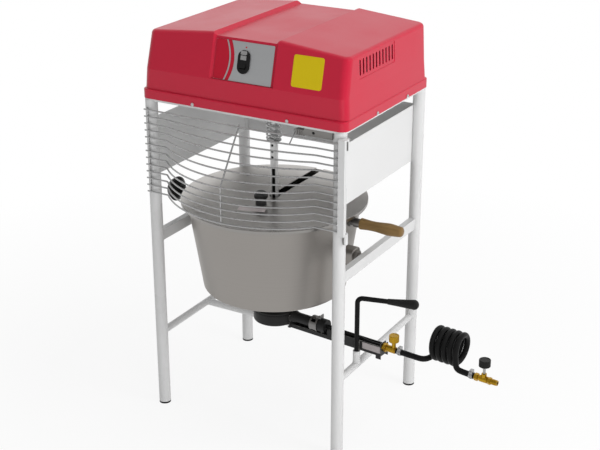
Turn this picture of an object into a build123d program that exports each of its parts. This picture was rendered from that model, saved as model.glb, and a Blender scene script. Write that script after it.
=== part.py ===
"""Gas-heated dough mixer: tube frame, hooded drive, tipping pot, hinged guard and swing-out burner.

Millimetres. +X runs right along the front, +Y to the back, +Z up.
The origin lies on the floor, midway between the four legs.
"""

import os
from math import asin, atan2, cos, degrees, pi, radians, sin, sqrt

from build123d import *

# Clearances, set once and used wherever two pieces meet
FIT = 0.1  # pieces of one body that sit in or on each other
RUN = 0.08  # radial, a shaft in its bearing
GAP = 0.4  # pieces that move past each other
COPE = 0.05  # a tube cut round to sit on another tube

# Tube frame
LEG_D = 31.75
LEG_WALL = 2.0
LEG_SPAN_X = 542.4
LEG_SPAN_Y = 430.2
FOOT_T = 5.0
FOOT_PLUG = 20.0
DECK_TOP = 878.0
DECK_T = 3.0
DECK_LIP = 7.0
DECK_LIP_T = 2.0
DECK_INSET = 6.0  # lip behind the hood's rim
DECK_EDGE = 1.0  # edge that the hood stands on, behind its rim
DECK_RISE = 10.0  # upturned edge inside the hood, for its screws
PANEL_T = 1.5
PANEL_H = 154.5
PANEL_DROP = 49.0  # deck top to the panels' top edge
PANEL_INSET = 9.9  # leg axis to the middle of a side panel
PIVOT_Z = 498.0
RAIL_W = 17.4
RAIL_H = 29.3
RAIL_WALL = 2.0
LOW_RAIL_D = 19.05
LOW_RAIL_WALL = 1.5
LOW_RAIL_Z = 215.5
CROSS_Y = 5.0

# Hood
RIM_X = 583.0
RIM_Y = 460.0
RIM_H = 24.0
RIM_CORNER = 20.0
STEP_X = 2.1
STEP_Y = 7.0
HOOD_WALL = 2.5
CREASE_H = 74.5
EAVE_H = 168.0
ROOF_H = 185.0
CHANNEL_H = 176.0
CREASE_IN_X = 3.4
CREASE_IN_Y = 2.3
EAVE_IN_X = 4.0
LEAN = 23.7  # how far the front leans back between crease and eave
EAVE_R = 11.0
CHANNEL_W = 170.0
CHANNEL_SIDE = 8.6
RECESS_D = 6.0
VENT_COUNT = 11
VENT_PITCH = 16.8
VENT_W = 6.5
VENT_H = 38.0
VENT_Y = -59.5  # middle of the row
VENT_UP = 134.5  # deck top to the middle of a slot
VENT_FIELD_D = 1.0
SCREW_D = 9.0
SCREW_SHANK = 4.0
SCREW_LEN = 8.0
SCREW_UP = 4.8
SCREW_X = 135.0
SCREW_Y = (-66.0, 100.0)

# Control panel
PLATE_W = 163.0
PLATE_H = 97.0
PLATE_T = 1.5
PLATE_UP = 3.0  # crease to the plate's lower edge, up the slope
BEZEL_W = 33.0
BEZEL_H = 57.0
BEZEL_T = 4.0
SWITCH_UP = 52.0
SWITCH_W = 22.0
SWITCH_H = 38.0
SWITCH_DEPTH = 26.0
SWITCH_WALL = 2.2
SWITCH_PIN_D = 3.0
ROCKER_TILT = 8.0

# Drive inside the hood
MOTOR_D = 112.0
MOTOR_L = 210.0
MOTOR_X = -40.0
MOTOR_Y = 122.0
MOTOR_UP = 74.0
MOTOR_SHAFT_D = 15.9
GEARBOX_X = 116.0
GEARBOX_Y = 128.0
GEARBOX_H = 104.0
WORM_OFFSET = 50.0  # wheel axis to worm axis
WORM_UP = 66.0
WORM_D = 15.9
WORM_START = 20.0
BELT_X = 158.0
BELT_W = 12.7
BELT_T = 8.0
MOTOR_PULLEY_D = 56.0
WORM_PULLEY_D = 112.0
PULLEY_FLANGE = 4.0

# Pot, lid and agitator
POT_Y = -67.0
POT_RIM_UP = 113.7  # tilt axis to the top of the pot's flange
POT_DEPTH = 243.1
POT_TAPER = 37.7  # lean of the wall from its top to its base
POT_WALL = 3.0
POT_FLANGE_W = 14.6
FLANGE_CLEAR = 29.9  # middle of the legs to the pot's flange
POT_FLANGE_T = 2.6
POT_CORNER = 9.0
LID_T = 2.4
LID_LIP = 8.5
LID_LIP_T = 1.6
LID_SLOT = 24.0
LID_HOLE = 27.0
LID_KNOB_X = 2.0
LID_KNOB_Y = -137.0
LID_KNOB_D = 34.0
LID_KNOB_H = 35.0
BOSS_CLEAR = 13.0  # rail to the nut on the pot's boss
BOSS_W = 45.0
BOSS_H = 46.0
BOSS_DROP = 4.0
BOSS_CORNER = 12.0
PIN_D = 16.0
NUT_AF = 26.0
NUT_T = 8.0
HANDLE_UP = 90.0
FERRULE_D = 23.0
FERRULE_L = 20.0
FERRULE_X = 254.0
HANDLE_L = 116.0
HANDLE_D = 31.0
SIDE_KNOB_UP = 78.0
SIDE_KNOB_X = 292.7
SIDE_KNOB_T = 38.0
SIDE_KNOB_D = 65.0
SIDE_STEM_D = 20.0
SHAFT_D = 20.6
SHAFT_BORE = 14.0
SHAFT_FOOT = 560.0
SHAFT_SLOT = 8.4
SHAFT_SLOT_TURN = -72.0
HOLE_DROP = 14.4  # spring's foot to the first hole
HOLE_PITCH = 16.3
HOLE_COUNT = 3
SLOT_DROP = 28.0  # lowest hole to the top of the slot
SHAFT_HOLE_D = 7.5
TANG_T = 8.0
SPRING_OD = 41.0
SPRING_WIRE = 5.0
SPRING_FOOT = 769.0
SPRING_TURNS = 8
WASHER_T = 3.0
HUB_D = 32.0
STUD_D = 12.0
STUD_H = 24.0
ARM_T = 8.0
ARM_BAR = 26.0
BLADE_T = 6.0
BLADE_GAP = 1.5
BLADE_W = 14.0
ARM_TOP_DROP = 48.0  # flange top to the arms' upper ends

# Guard
WIRE_D = 4.2
WIRE_COUNT = 13
WIRE_PITCH = 18.33
WIRE_DROP = 27.0  # deck top to the first wire
WIRE_FORWARD = 21.9  # leg axis to the wires' straight ends
KINK_X = 215.0
BULGE_TOP = 6.0
BULGE_LOW = 92.0
BULGE_WIRE = 8  # the first wire with the whole bulge
KINK_R = 10.0
WIRE_OVER = 8.0  # wire ends past the left bar
GUARD_BAR_D = 4.0
TIE_X = 5.0
CHANNEL_X = 8.8  # leg axis to the channel's inner edge
GUARD_CH_W = 17.0
GUARD_CH_D = 10.0
GUARD_CH_T = 1.5
GUARD_CH_FRONT = 27.9  # leg axis to the channel's front face
GUARD_CH_TOP = 14.0  # deck top to the channel's upper end
GUARD_CH_H = 241.5
EYE_D = 13.0
EYE_PIN_D = 8.0
EYE_TURN = -23.0  # direction from the leg to the hinge axis
EYE_OUT = 22.7
EYE_H = 24.0
EYE_TAB = 4.0

# Limit switch under the deck
LIMIT_CLEAR = 3.3  # leg to the switch box
LIMIT_L = 75.0
LIMIT_HEAD_L = 23.0
LIMIT_Y = (-222.0, -204.0)
LIMIT_H = 22.0
LIMIT_HEAD_H = 14.0
LEVER_CLEAR = 5.0  # switch head to the middle of the lever
LEVER_Y = -213.0
LEVER_DROP = 20.0
LEVER_WIRE = 3.0
LEVER_TIP_D = 4.0
LEVER_HUB_D = 9.0
LEVER_PIN_D = 4.0

# Burner, measured along the arm from the burner's axis
SWING_Y = -113.0
BURNER_ARM_W = 25.0
BURNER_ARM_T = 2.0
ARM_START = 53.0
NECK_H = 37.0  # plate between head and venturi
NECK_W = 34.0
ARM_STEP = 178.0
ARM_END = 343.0
ARM_Z = 255.5
ARM_HIGH = 27.5
ARM_LOW = 11.0
REST_W = 11.0  # end bracket past the arm's far side
REST_DROP = 9.0
REST_L = 15.0
HEAD_D = 118.0
HEAD_Z = 263.0
HEAD_H = 40.0
VENTURI_D = 28.0
VENTURI_Z = 284.5
FLARE = 4.0  # the venturi's cone at the neck plate
VENTURI_MOUTH_D = 37.0
MOUTH_START = 119.0
MOUTH_END = 169.0
SHUTTER_START = 123.5
SHUTTER_L = 23.0
SHUTTER_T = 1.6
GAS_Z = 279.0
PIPE_D = 10.0
PIPE_BENDS = (43.0, 83.0)  # arm's end to the pipe's two bends
LEVER_D = 12.7
SOCKET_D = 19.05
SOCKET_TOP = 255.0
LEVER_TOP = 405.0
LEVER_TURN = 14.0
LEVER_BEND = 14.0
GRIP_START = 78.0
GRIP_END = 158.0
GRIP_D = (15.0, 26.0)
VALVE_END = 381.5
VALVE_D = 17.0
VALVE_STEM_T = 374.0
VALVE_NECK_D = 10.5
GAS_KNOB_D = 26.0
GAS_KNOB_Z = (303.0, 321.0)
STEM_D = 7.0

# Hose
HOSE_D = 15.0
COIL_T = 471.0
COIL_R = 37.5
COIL_PITCH = 16.6
COIL_TURNS = 4.75
TAIL_BEND = 24.0
INLET_T = 606.5
INLET_STEM_T = 630.5
INLET_END = 667.5
INLET_D = 15.0
INLET_KNOB_D = 29.0
INLET_KNOB_Z = (314.5, 332.5)
NIPPLE_D = 13.2
NIPPLE_LEN = 17.0
CLAMP_W = 10.0
CLAMP_T = 1.4

# Values that follow from those above
LEG_X = LEG_SPAN_X / 2
LEG_Y = LEG_SPAN_Y / 2
LEG_R = LEG_D / 2
LEG_TOP = DECK_TOP - DECK_T
POT_RIM_Z = PIVOT_Z + POT_RIM_UP
POT_FLANGE_R = LEG_X - FLANGE_CLEAR
POT_TOP_R = POT_FLANGE_R - POT_FLANGE_W
POT_BASE_R = POT_TOP_R - POT_TAPER
BOSS_X = LEG_X - RAIL_W / 2 - BOSS_CLEAR - NUT_T
POT_BASE_Z = POT_RIM_Z - POT_DEPTH
LID_Z = POT_RIM_Z + GAP
SHAFT_TOP = DECK_TOP + GEARBOX_H - 6.0
SHAFT_HOLES = [SPRING_FOOT - HOLE_DROP - i * HOLE_PITCH for i in range(HOLE_COUNT)]
SHAFT_SLOT_TOP = min(SHAFT_HOLES) - SLOT_DROP
POT_SLOPE = (POT_TOP_R - POT_BASE_R) / (POT_DEPTH - POT_FLANGE_T)
LIMIT_X = (LEG_X - LEG_R - LIMIT_CLEAR - LIMIT_L, LEG_X - LEG_R - LIMIT_CLEAR)
LIMIT_HEAD_X = LIMIT_X[0] - LIMIT_HEAD_L
LEVER_X = LIMIT_HEAD_X - LEVER_CLEAR
WORM_Y = POT_Y + WORM_OFFSET
WORM_Z = DECK_TOP + WORM_UP
MOTOR_Z = DECK_TOP + MOTOR_UP


def bar(d, start, end):
    """A round bar between two points."""
    start = Vector(*start)
    end = Vector(*end)
    axis = Plane(origin=start, z_dir=end - start)
    return extrude(axis * Circle(d / 2), (end - start).length)


def block(x, y, z):
    """A box between pairs of coordinates."""
    size = [abs(b - a) for a, b in (x, y, z)]
    centre = [(a + b) / 2 for a, b in (x, y, z)]
    return Pos(*centre) * Box(*size)


def turned(points, corners=()):
    """A solid turned about the Z axis from (radius, height) points; corners lists (index, fillet radius)."""
    face = make_face(Polyline(*points, close=True))
    rounded = [(Vector(*points[i]), r) for i, r in corners]
    for at, r in rounded:
        near = face.vertices().sort_by_distance((at.X, at.Y, 0))[0]
        face = fillet(near, r)
    return revolve(Plane.XZ * face, Axis.Z)


def swept(edges, d):
    """A round wire or hose along edges that join end to end."""
    path = Wire(edges)
    section = Plane(origin=path @ 0, z_dir=path % 0) * Circle(d / 2)
    return sweep(section, path=path)


def biarc(p0, t0, p1, t1):
    """Two tangent arcs from one point and direction to another."""
    v = p1 - p0
    t = t0 + t1
    k = 2 * (1 - t0.dot(t1))
    d = (-v.dot(t) + sqrt(v.dot(t) ** 2 + k * v.dot(v))) / k
    middle = (p0 + p1 + (t0 - t1) * d) * 0.5
    direction = (p1 - t1 * d) - (p0 + t0 * d)
    return [TangentArc(p0, middle, tangent=t0), TangentArc(middle, p1, tangent=direction)]


def winding(radius, pitch, turns):
    """A coil about Z from (radius, 0, 0), as biarcs of a quarter turn."""
    lead = pitch / (2 * pi)

    def at(i):
        a = i * pi / 2
        return Vector(radius * cos(a), radius * sin(a), lead * a)

    def along(i):
        a = i * pi / 2
        return Vector(-radius * sin(a), radius * cos(a), lead).normalized()

    edges = []
    for i in range(round(turns * 4)):
        edges += biarc(at(i), along(i), at(i + 1), along(i + 1))
    return edges


def straight_ends(edges, length):
    """The same run of edges with a straight piece before and after it."""
    first = edges[0]
    last = edges[-1]
    start = first @ 0
    end = last @ 1
    return [Line(start - (first % 0) * length, start), *edges, Line(end, end + (last % 1) * length)]


def least_gap(edges, d):
    """The least gap between two turns of a coil, from points along it."""
    points = [e @ (i / 6) for e in edges for i in range(6)]
    near = min((p - q).length for i, p in enumerate(points) for q in points[i + 24 :])
    return round(near - d, 2)


def pot_radius(z):
    """Outer radius of the pot's wall at a height."""
    return POT_BASE_R + (z - POT_BASE_Z) * POT_SLOPE


def legs_cut(d=LEG_D + 2 * COPE, top=LEG_TOP):
    """The four legs as solid bars, to cut other pieces with."""
    places = [(x, y) for x in (-LEG_X, LEG_X) for y in (-LEG_Y, LEG_Y)]
    return [bar(d, (x, y, 0), (x, y, top)) for x, y in places]


# Tube frame

def leg(x, y):
    """One leg, an open tube between foot cap and deck."""
    return bar(LEG_D, (x, y, FOOT_T), (x, y, LEG_TOP)) - bar(LEG_D - 2 * LEG_WALL, (x, y, 0), (x, y, DECK_TOP))


def foot_cap(x, y):
    """A plastic cap with a plug that sits in the leg."""
    plug = LEG_D - 2 * LEG_WALL - 2 * FIT
    return bar(LEG_D, (x, y, 0), (x, y, FOOT_T)) + bar(plug, (x, y, FOOT_T), (x, y, FOOT_T + FOOT_PLUG))


def rim_outline(inset):
    """The outline of the hood's rim, drawn in by an amount."""
    return RectangleRounded(RIM_X - 2 * inset, RIM_Y - 2 * inset, RIM_CORNER - inset)


def deck_band(inset, low, high):
    """An upright edge of the deck between two heights."""
    return Pos(0, 0, low) * extrude(rim_outline(inset) - rim_outline(inset + DECK_LIP_T), high - low)


def deck_plate():
    """The tray that carries the drive: the hood is screwed to its rise, and its lip is notched round the legs."""
    tray = Pos(0, 0, DECK_TOP - DECK_T) * extrude(rim_outline(DECK_EDGE), DECK_T)
    tray += deck_band(DECK_INSET, DECK_TOP - DECK_LIP, DECK_TOP - DECK_T)
    tray += deck_band(HOOD_WALL + FIT, DECK_TOP, DECK_TOP + DECK_RISE)
    tray -= legs_cut()
    tray -= screw_holes()
    return tray - bar(SHAFT_D + 4 * GAP, (0, POT_Y, 0), (0, POT_Y, DECK_TOP + 1))


def panel_top():
    return DECK_TOP - PANEL_DROP


def side_panel(side):
    """A plain sheet between a front and a rear leg."""
    reach = LEG_Y - sqrt((LEG_R + COPE) ** 2 - (PANEL_INSET - PANEL_T / 2) ** 2) - FIT
    x = side * (LEG_X - PANEL_INSET)
    return block((x - PANEL_T / 2, x + PANEL_T / 2), (-reach, reach), (panel_top() - PANEL_H, panel_top()))


def rear_panel():
    """A plain sheet between the rear legs."""
    reach = LEG_X - LEG_R - FIT
    y = (LEG_Y - PANEL_T / 2, LEG_Y + PANEL_T / 2)
    return block((-reach, reach), y, (panel_top() - PANEL_H, panel_top()))


def pivot_rail(side):
    """A rectangular tube between the legs that carries a trunnion pin in its inner wall."""
    x = side * LEG_X
    z = (PIVOT_Z - RAIL_H / 2, PIVOT_Z + RAIL_H / 2)
    rail = block((x - RAIL_W / 2, x + RAIL_W / 2), (-LEG_Y, LEG_Y), z)
    hollow_x = (x - RAIL_W / 2 + RAIL_WALL, x + RAIL_W / 2 - RAIL_WALL)
    rail -= block(hollow_x, (-LEG_Y, LEG_Y), (z[0] + RAIL_WALL, z[1] - RAIL_WALL))
    rail -= legs_cut()
    return rail - bar(PIN_D + 2 * RUN, (0, POT_Y, PIVOT_Z), (x, POT_Y, PIVOT_Z))


def lower_rail(side):
    """A round tube low between a front and a rear leg."""
    x = side * LEG_X
    ends = ((x, -LEG_Y, LOW_RAIL_Z), (x, LEG_Y, LOW_RAIL_Z))
    return bar(LOW_RAIL_D, *ends) - bar(LOW_RAIL_D - 2 * LOW_RAIL_WALL, *ends) - legs_cut()


def cross_rail():
    """The tube that ties the two lower rails together."""
    ends = ((-LEG_X, CROSS_Y, LOW_RAIL_Z), (LEG_X, CROSS_Y, LOW_RAIL_Z))
    rail = bar(LOW_RAIL_D, *ends) - bar(LOW_RAIL_D - 2 * LOW_RAIL_WALL, *ends)
    for x in (-LEG_X, LEG_X):
        rail -= bar(LOW_RAIL_D + 2 * COPE, (x, -LEG_Y, LOW_RAIL_Z), (x, LEG_Y, LOW_RAIL_Z))
    return rail


def burner_socket():
    """The upright tube on the right lower rail in which the burner's lever turns."""
    socket = bar(SOCKET_D, (LEG_X, SWING_Y, LOW_RAIL_Z), (LEG_X, SWING_Y, SOCKET_TOP))
    socket -= bar(LEVER_D + 2 * RUN, (LEG_X, SWING_Y, 0), (LEG_X, SWING_Y, SOCKET_TOP + 1))
    return socket - bar(LOW_RAIL_D + 2 * COPE, (LEG_X, -LEG_Y, LOW_RAIL_Z), (LEG_X, LEG_Y, LOW_RAIL_Z))


# Hood

def front_plane():
    """The leaning upper front: local Y runs up the slope from the crease, local Z outwards."""
    up = Vector(0, LEAN, EAVE_H - CREASE_H)
    y = -(RIM_Y / 2 - STEP_Y - CREASE_IN_Y)
    return Plane(origin=(0, y, DECK_TOP + CREASE_H), x_dir=(1, 0, 0), z_dir=Vector(1, 0, 0).cross(up))


def hood_section(h, x, front, back, inset):
    """One rounded outline of the hood at a height, drawn in by a wall."""
    outline = RectangleRounded(2 * (x - inset), back - front - 2 * inset, RIM_CORNER - inset)
    return Pos(0, (front + back) / 2, DECK_TOP + h) * outline


def hood_body(inset, foot):
    """The hood above its rim, from straight faces between rounded outlines."""
    x = RIM_X / 2 - STEP_X
    y = RIM_Y / 2 - STEP_Y
    crease_x = x - CREASE_IN_X
    crease_y = y - CREASE_IN_Y
    rise = (ROOF_H + 6.0 - CREASE_H) / (EAVE_H - CREASE_H)
    sections = [
        hood_section(foot, x, -y, y, inset),
        hood_section(CREASE_H, crease_x, -crease_y, crease_y, inset),
        hood_section(
            ROOF_H + 6.0,
            crease_x - EAVE_IN_X * rise,
            -crease_y + LEAN * rise,
            crease_y - CREASE_IN_Y * rise,
            inset,
        ),
    ]
    return loft(sections, ruled=True)


def above_roof(drop):
    """Everything above the roof line, lowered by a wall: sloping blocks left and right of a flat channel."""
    eave_x = RIM_X / 2 - STEP_X - CREASE_IN_X - EAVE_IN_X
    ridge_x = CHANNEL_W / 2 + CHANNEL_SIDE
    slope = (ROOF_H - EAVE_H) / (eave_x - ridge_x)
    out = RIM_X
    side = [
        (CHANNEL_W / 2, CHANNEL_H),
        (ridge_x, ROOF_H),
        (out, ROOF_H - (out - ridge_x) * slope),
        (out, ROOF_H + RIM_X),
    ]
    if drop:
        side[0] = (CHANNEL_W / 2 - drop, CHANNEL_H)
        side[1] = (ridge_x + drop, ROOF_H - drop * slope)
    points = side + [(-x, h) for x, h in reversed(side)]
    line = Polyline(*[(x, DECK_TOP + h - drop) for x, h in points], close=True)
    return extrude(Plane.XZ * make_face(line), RIM_Y, both=True)


def front_recess(grow):
    """The shallow bay down the front for the control panel; its sides slope like the channel's."""
    half = CHANNEL_W / 2 + grow
    deep = RECESS_D + grow
    out = 4 * RECESS_D
    wide = half + (deep + out) * CHANNEL_SIDE / (ROOF_H - CHANNEL_H)
    section = make_face(Polyline((-half, -deep), (half, -deep), (wide, out), (-wide, out), close=True))
    low = PLATE_UP / 2 - grow
    bay = extrude(Plane.XZ * section, 2 * (ROOF_H - CREASE_H), dir=(0, 1, 0))
    return front_plane() * Pos(0, low, 0) * bay


def vent_plane(side):
    """The hood's side at the middle of the vents: local X runs to the back, local Z outwards."""
    lean = EAVE_IN_X / (EAVE_H - CREASE_H)
    x = RIM_X / 2 - STEP_X - CREASE_IN_X - (VENT_UP - CREASE_H) * lean
    return Plane(origin=(side * x, VENT_Y, DECK_TOP + VENT_UP), x_dir=(0, 1, 0), z_dir=(side, 0, lean))


def hood_screw_places():
    """Centres and outward directions of the screws round the rim."""
    z = DECK_TOP + SCREW_UP
    places = []
    for side in (-1, 1):
        places += [((x, side * RIM_Y / 2, z), (0, side, 0)) for x in (-SCREW_X, SCREW_X)]
        places += [((side * RIM_X / 2, y, z), (side, 0, 0)) for y in SCREW_Y]
    return places


def screw_holes():
    """The screws' holes through the rim and the deck's rise."""
    d = SCREW_SHANK + 2 * FIT
    return [bar(d, Vector(*at) - Vector(*out) * SCREW_LEN, Vector(*at) + Vector(*out)) for at, out in hood_screw_places()]


def hood():
    """The pressed cover over the drive."""
    rim = Pos(0, 0, DECK_TOP) * extrude(rim_outline(0), RIM_H)
    rim = fillet(rim.faces().sort_by(Axis.Z)[-1].edges(), 3.0)
    body = hood_body(0, RIM_H) - above_roof(0) - front_recess(0)
    roofs = [f for f in body.faces() if f.normal_at().Z > 0.9 and abs(f.center().X) > CHANNEL_W / 2]
    edges = [e for f in roofs for e in f.edges() if abs((e @ 0.5).X) > CHANNEL_W / 2 + 2 * CHANNEL_SIDE]
    body = fillet(edges, EAVE_R)
    shell = rim + body
    inside = hood_body(HOOD_WALL, RIM_H - HOOD_WALL) - above_roof(HOOD_WALL) - front_recess(HOOD_WALL)
    inside += Pos(0, 0, DECK_TOP) * extrude(rim_outline(HOOD_WALL), RIM_H - HOOD_WALL)
    shell -= inside
    slot = extrude(Rot(0, 0, 90) * SlotOverall(VENT_H, VENT_W), 8 * HOOD_WALL, both=True)
    field = extrude(RectangleRounded(VENT_PITCH * VENT_COUNT + VENT_W, VENT_H + 2.5 * VENT_W, VENT_W), 4 * HOOD_WALL)
    first = -VENT_PITCH * (VENT_COUNT - 1) / 2
    for side in (-1, 1):
        place = vent_plane(side)
        shell -= [place * Pos(first + i * VENT_PITCH, 0, 0) * slot for i in range(VENT_COUNT)]
        shell -= place * Pos(0, 0, -VENT_FIELD_D) * field
    shell -= screw_holes()
    opening = Box(SWITCH_W + 2 * FIT, SWITCH_H + 2 * FIT, 8 * RECESS_D)
    return shell - front_plane() * Pos(0, SWITCH_UP, 0) * opening


def control_panel():
    """The flat plate in the bay, with the hole for the switch."""
    plate = extrude(RectangleRounded(PLATE_W, PLATE_H, 3.0), PLATE_T)
    plate = Pos(0, PLATE_UP + PLATE_H / 2, -RECESS_D) * plate
    plate -= Pos(0, SWITCH_UP, -RECESS_D) * Box(SWITCH_W + 2 * FIT, SWITCH_H + 2 * FIT, 4 * PLATE_T)
    return front_plane() * plate


def plate_face():
    return PLATE_T - RECESS_D


def switch_housing():
    """The oval bezel with a box behind it, open to the front."""
    bezel = extrude(Rot(0, 0, 90) * SlotOverall(BEZEL_H, BEZEL_W), BEZEL_T)
    bezel = fillet(bezel.faces().sort_by(Axis.Z)[-1].edges(), 1.5)
    body = Pos(0, 0, -SWITCH_DEPTH / 2) * Box(SWITCH_W, SWITCH_H, SWITCH_DEPTH)
    pocket = Box(SWITCH_W - 2 * SWITCH_WALL, SWITCH_H - 2 * SWITCH_WALL, 2 * (SWITCH_DEPTH - SWITCH_WALL))
    reach = SWITCH_W / 2 + 1
    hole = bar(SWITCH_PIN_D + 2 * RUN, (-reach, 0, 0), (reach, 0, 0))
    return front_plane() * Pos(0, SWITCH_UP, plate_face()) * (bezel + body - pocket - hole)


def switch_rocker():
    """The rocker, its upper end pressed in; it turns about a line across the housing."""
    half = (SWITCH_H / 2 - SWITCH_WALL) - 2.5 * GAP
    top = BEZEL_T + 2.2
    face = Polyline((-half, top), (0, top - 2.4), (half, top), (half, -1), (half / 2, -5), (-half / 2, -5), close=True)
    width = SWITCH_W - 2 * SWITCH_WALL - 2 * GAP
    rocker = extrude(Plane.YZ * make_face(face), width / 2, both=True)
    reach = SWITCH_W / 2 - GAP
    rocker += bar(SWITCH_PIN_D, (-reach, 0, 0), (reach, 0, 0))
    return front_plane() * Pos(0, SWITCH_UP, plate_face()) * Rot(-ROCKER_TILT, 0, 0) * rocker


def hood_screw(at, out):
    """A domed screw through the rim."""
    head = turned([(0, 0), (SCREW_D / 2, 0), (SCREW_D / 2, 1.2), (SCREW_D / 3, 3.2), (0, 3.8)])
    shank = bar(SCREW_SHANK, (0, 0, -SCREW_LEN), (0, 0, 0))
    return Plane(origin=at, z_dir=out) * (head + shank)


# Drive

def motor():
    """The motor's closed body on its foot, its axis along X."""
    x0 = MOTOR_X - MOTOR_L / 2
    x1 = MOTOR_X + MOTOR_L / 2
    body = bar(MOTOR_D, (x0, MOTOR_Y, MOTOR_Z), (x1, MOTOR_Y, MOTOR_Z))
    body = chamfer(body.edges().filter_by(GeomType.CIRCLE), 6.0)
    foot_y = (MOTOR_Y - MOTOR_D * 0.45, MOTOR_Y + MOTOR_D * 0.45)
    foot = block((x0 + 40, x1 - 40), foot_y, (DECK_TOP, DECK_TOP + 8))
    web = block((x0 + 50, x1 - 50), (MOTOR_Y - 25, MOTOR_Y + 25), (DECK_TOP, MOTOR_Z))
    bore = bar(MOTOR_SHAFT_D + 2 * RUN, (x1 - 60, MOTOR_Y, MOTOR_Z), (x1 + 1, MOTOR_Y, MOTOR_Z))
    return body + foot + web - bore


def motor_shaft():
    """The motor's shaft end, which carries the small pulley."""
    x1 = MOTOR_X + MOTOR_L / 2
    end = BELT_X + BELT_W / 2 + PULLEY_FLANGE
    return bar(MOTOR_SHAFT_D, (x1 - 58, MOTOR_Y, MOTOR_Z), (end, MOTOR_Y, MOTOR_Z))


def pulley(d, bore, y, z):
    """A grooved pulley at the belt, square to X."""
    half = BELT_W / 2 + GAP
    floor = d / 2 - BELT_T - GAP
    wide = half + PULLEY_FLANGE
    points = [(bore / 2 + FIT, -wide), (d / 2, -wide), (d / 2, -half), (floor, -half)]
    points += [(r, -h) for r, h in reversed(points)]
    return Plane(origin=(BELT_X, y, z), z_dir=(1, 0, 0)) * turned(points)


def belt_loop(cut):
    """The outline of the belt round both pulleys, drawn in by a depth."""
    rounds = []
    for y, z, d in ((MOTOR_Y, MOTOR_Z, MOTOR_PULLEY_D), (WORM_Y, WORM_Z, WORM_PULLEY_D)):
        rounds.append((Pos(y, z) * Circle(d / 2 - cut)).edge())
    return make_hull(rounds)


def drive_belt():
    """The belt between motor and gearbox."""
    loop = belt_loop(0) - belt_loop(BELT_T)
    return Pos(BELT_X, 0, 0) * extrude(Plane.YZ * loop, BELT_W / 2, both=True)


def gearbox():
    """The closed worm gearbox over the shaft."""
    z = (DECK_TOP, DECK_TOP + GEARBOX_H)
    body = block((-GEARBOX_X / 2, GEARBOX_X / 2), (POT_Y - GEARBOX_Y / 2, POT_Y + GEARBOX_Y / 2 + 16), z)
    body = fillet(body.edges().filter_by(Axis.Z), 14.0)
    boss = bar(56.0, (0, WORM_Y, WORM_Z), (GEARBOX_X / 2 + 12, WORM_Y, WORM_Z))
    body += boss
    body -= bar(WORM_D + 2 * RUN, (WORM_START, WORM_Y, WORM_Z), (GEARBOX_X, WORM_Y, WORM_Z))
    return body - bar(SHAFT_D + 2 * RUN, (0, POT_Y, 0), (0, POT_Y, SHAFT_TOP + GAP))


def worm_shaft():
    """The gearbox's input shaft, which carries the large pulley."""
    end = BELT_X + BELT_W / 2 + PULLEY_FLANGE
    return bar(WORM_D, (WORM_START + GAP, WORM_Y, WORM_Z), (end, WORM_Y, WORM_Z))


def drive_tube():
    """The slotted shaft tube that hangs from the gearbox."""
    tube = bar(SHAFT_D, (0, POT_Y, SHAFT_FOOT), (0, POT_Y, SHAFT_TOP))
    tube -= bar(SHAFT_BORE + 2 * FIT, (0, POT_Y, 0), (0, POT_Y, max(SHAFT_HOLES) + 2 * SHAFT_D))
    for z in SHAFT_HOLES:
        tube -= bar(SHAFT_HOLE_D, (0, POT_Y, z), (0, POT_Y - SHAFT_D, z))
    length = SHAFT_SLOT_TOP - SHAFT_FOOT + 1
    slot = Pos(SHAFT_D / 2, 0, SHAFT_SLOT_TOP - length / 2) * Box(SHAFT_D, SHAFT_SLOT, length)
    return tube - Pos(0, POT_Y, 0) * Rot(0, 0, SHAFT_SLOT_TURN) * slot


def drive_rod():
    """The rod in the tube; a flat tang at its foot sits in the agitator's fork on the tilt axis."""
    top = max(SHAFT_HOLES) + SHAFT_D
    rod = bar(SHAFT_BORE, (0, POT_Y, PIVOT_Z), (0, POT_Y, top))
    reach = SHAFT_BORE / 2
    shoulder = PIVOT_Z + HUB_D
    keep = block((-TANG_T / 2, TANG_T / 2), (POT_Y - reach, POT_Y + reach), (PIVOT_Z, shoulder))
    rod = rod - block((-reach, reach), (POT_Y - reach, POT_Y + reach), (0, shoulder)) + (rod & keep)
    return rod + bar(SHAFT_BORE, (-TANG_T / 2, POT_Y, PIVOT_Z), (TANG_T / 2, POT_Y, PIVOT_Z))


def spring_top():
    return LEG_TOP - WASHER_T - GAP


def shaft_spring():
    """The coil spring between the washer on the tube and the deck."""
    radius = (SPRING_OD - SPRING_WIRE) / 2
    foot = SPRING_FOOT + SPRING_WIRE / 2 + 2 * GAP
    pitch = (spring_top() - foot - SPRING_WIRE / 2 - 2 * GAP) / SPRING_TURNS
    edges = winding(radius, pitch, SPRING_TURNS)
    print("shaft spring: least gap to itself", least_gap(edges, SPRING_WIRE))
    return Pos(0, POT_Y, foot) * Rot(0, 0, -60) * swept(straight_ends(edges, SPRING_WIRE), SPRING_WIRE)


def spring_washers():
    """The washers below and above the spring."""
    low = bar(SPRING_OD - 3.0, (0, POT_Y, SPRING_FOOT - WASHER_T), (0, POT_Y, SPRING_FOOT))
    high = bar(SPRING_OD + 2.0, (0, POT_Y, spring_top()), (0, POT_Y, spring_top() + WASHER_T))
    hole = bar(SHAFT_D + 2 * FIT, (0, POT_Y, 0), (0, POT_Y, DECK_TOP))
    return [low - hole, high - hole]


# Pot, lid and agitator

def pot_outline():
    """(radius, height) of the pot's outside, from the middle of the base to the flange."""
    under = POT_RIM_Z - POT_FLANGE_T
    return [(0, POT_BASE_Z), (POT_BASE_R, POT_BASE_Z), (POT_TOP_R, under)]


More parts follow.
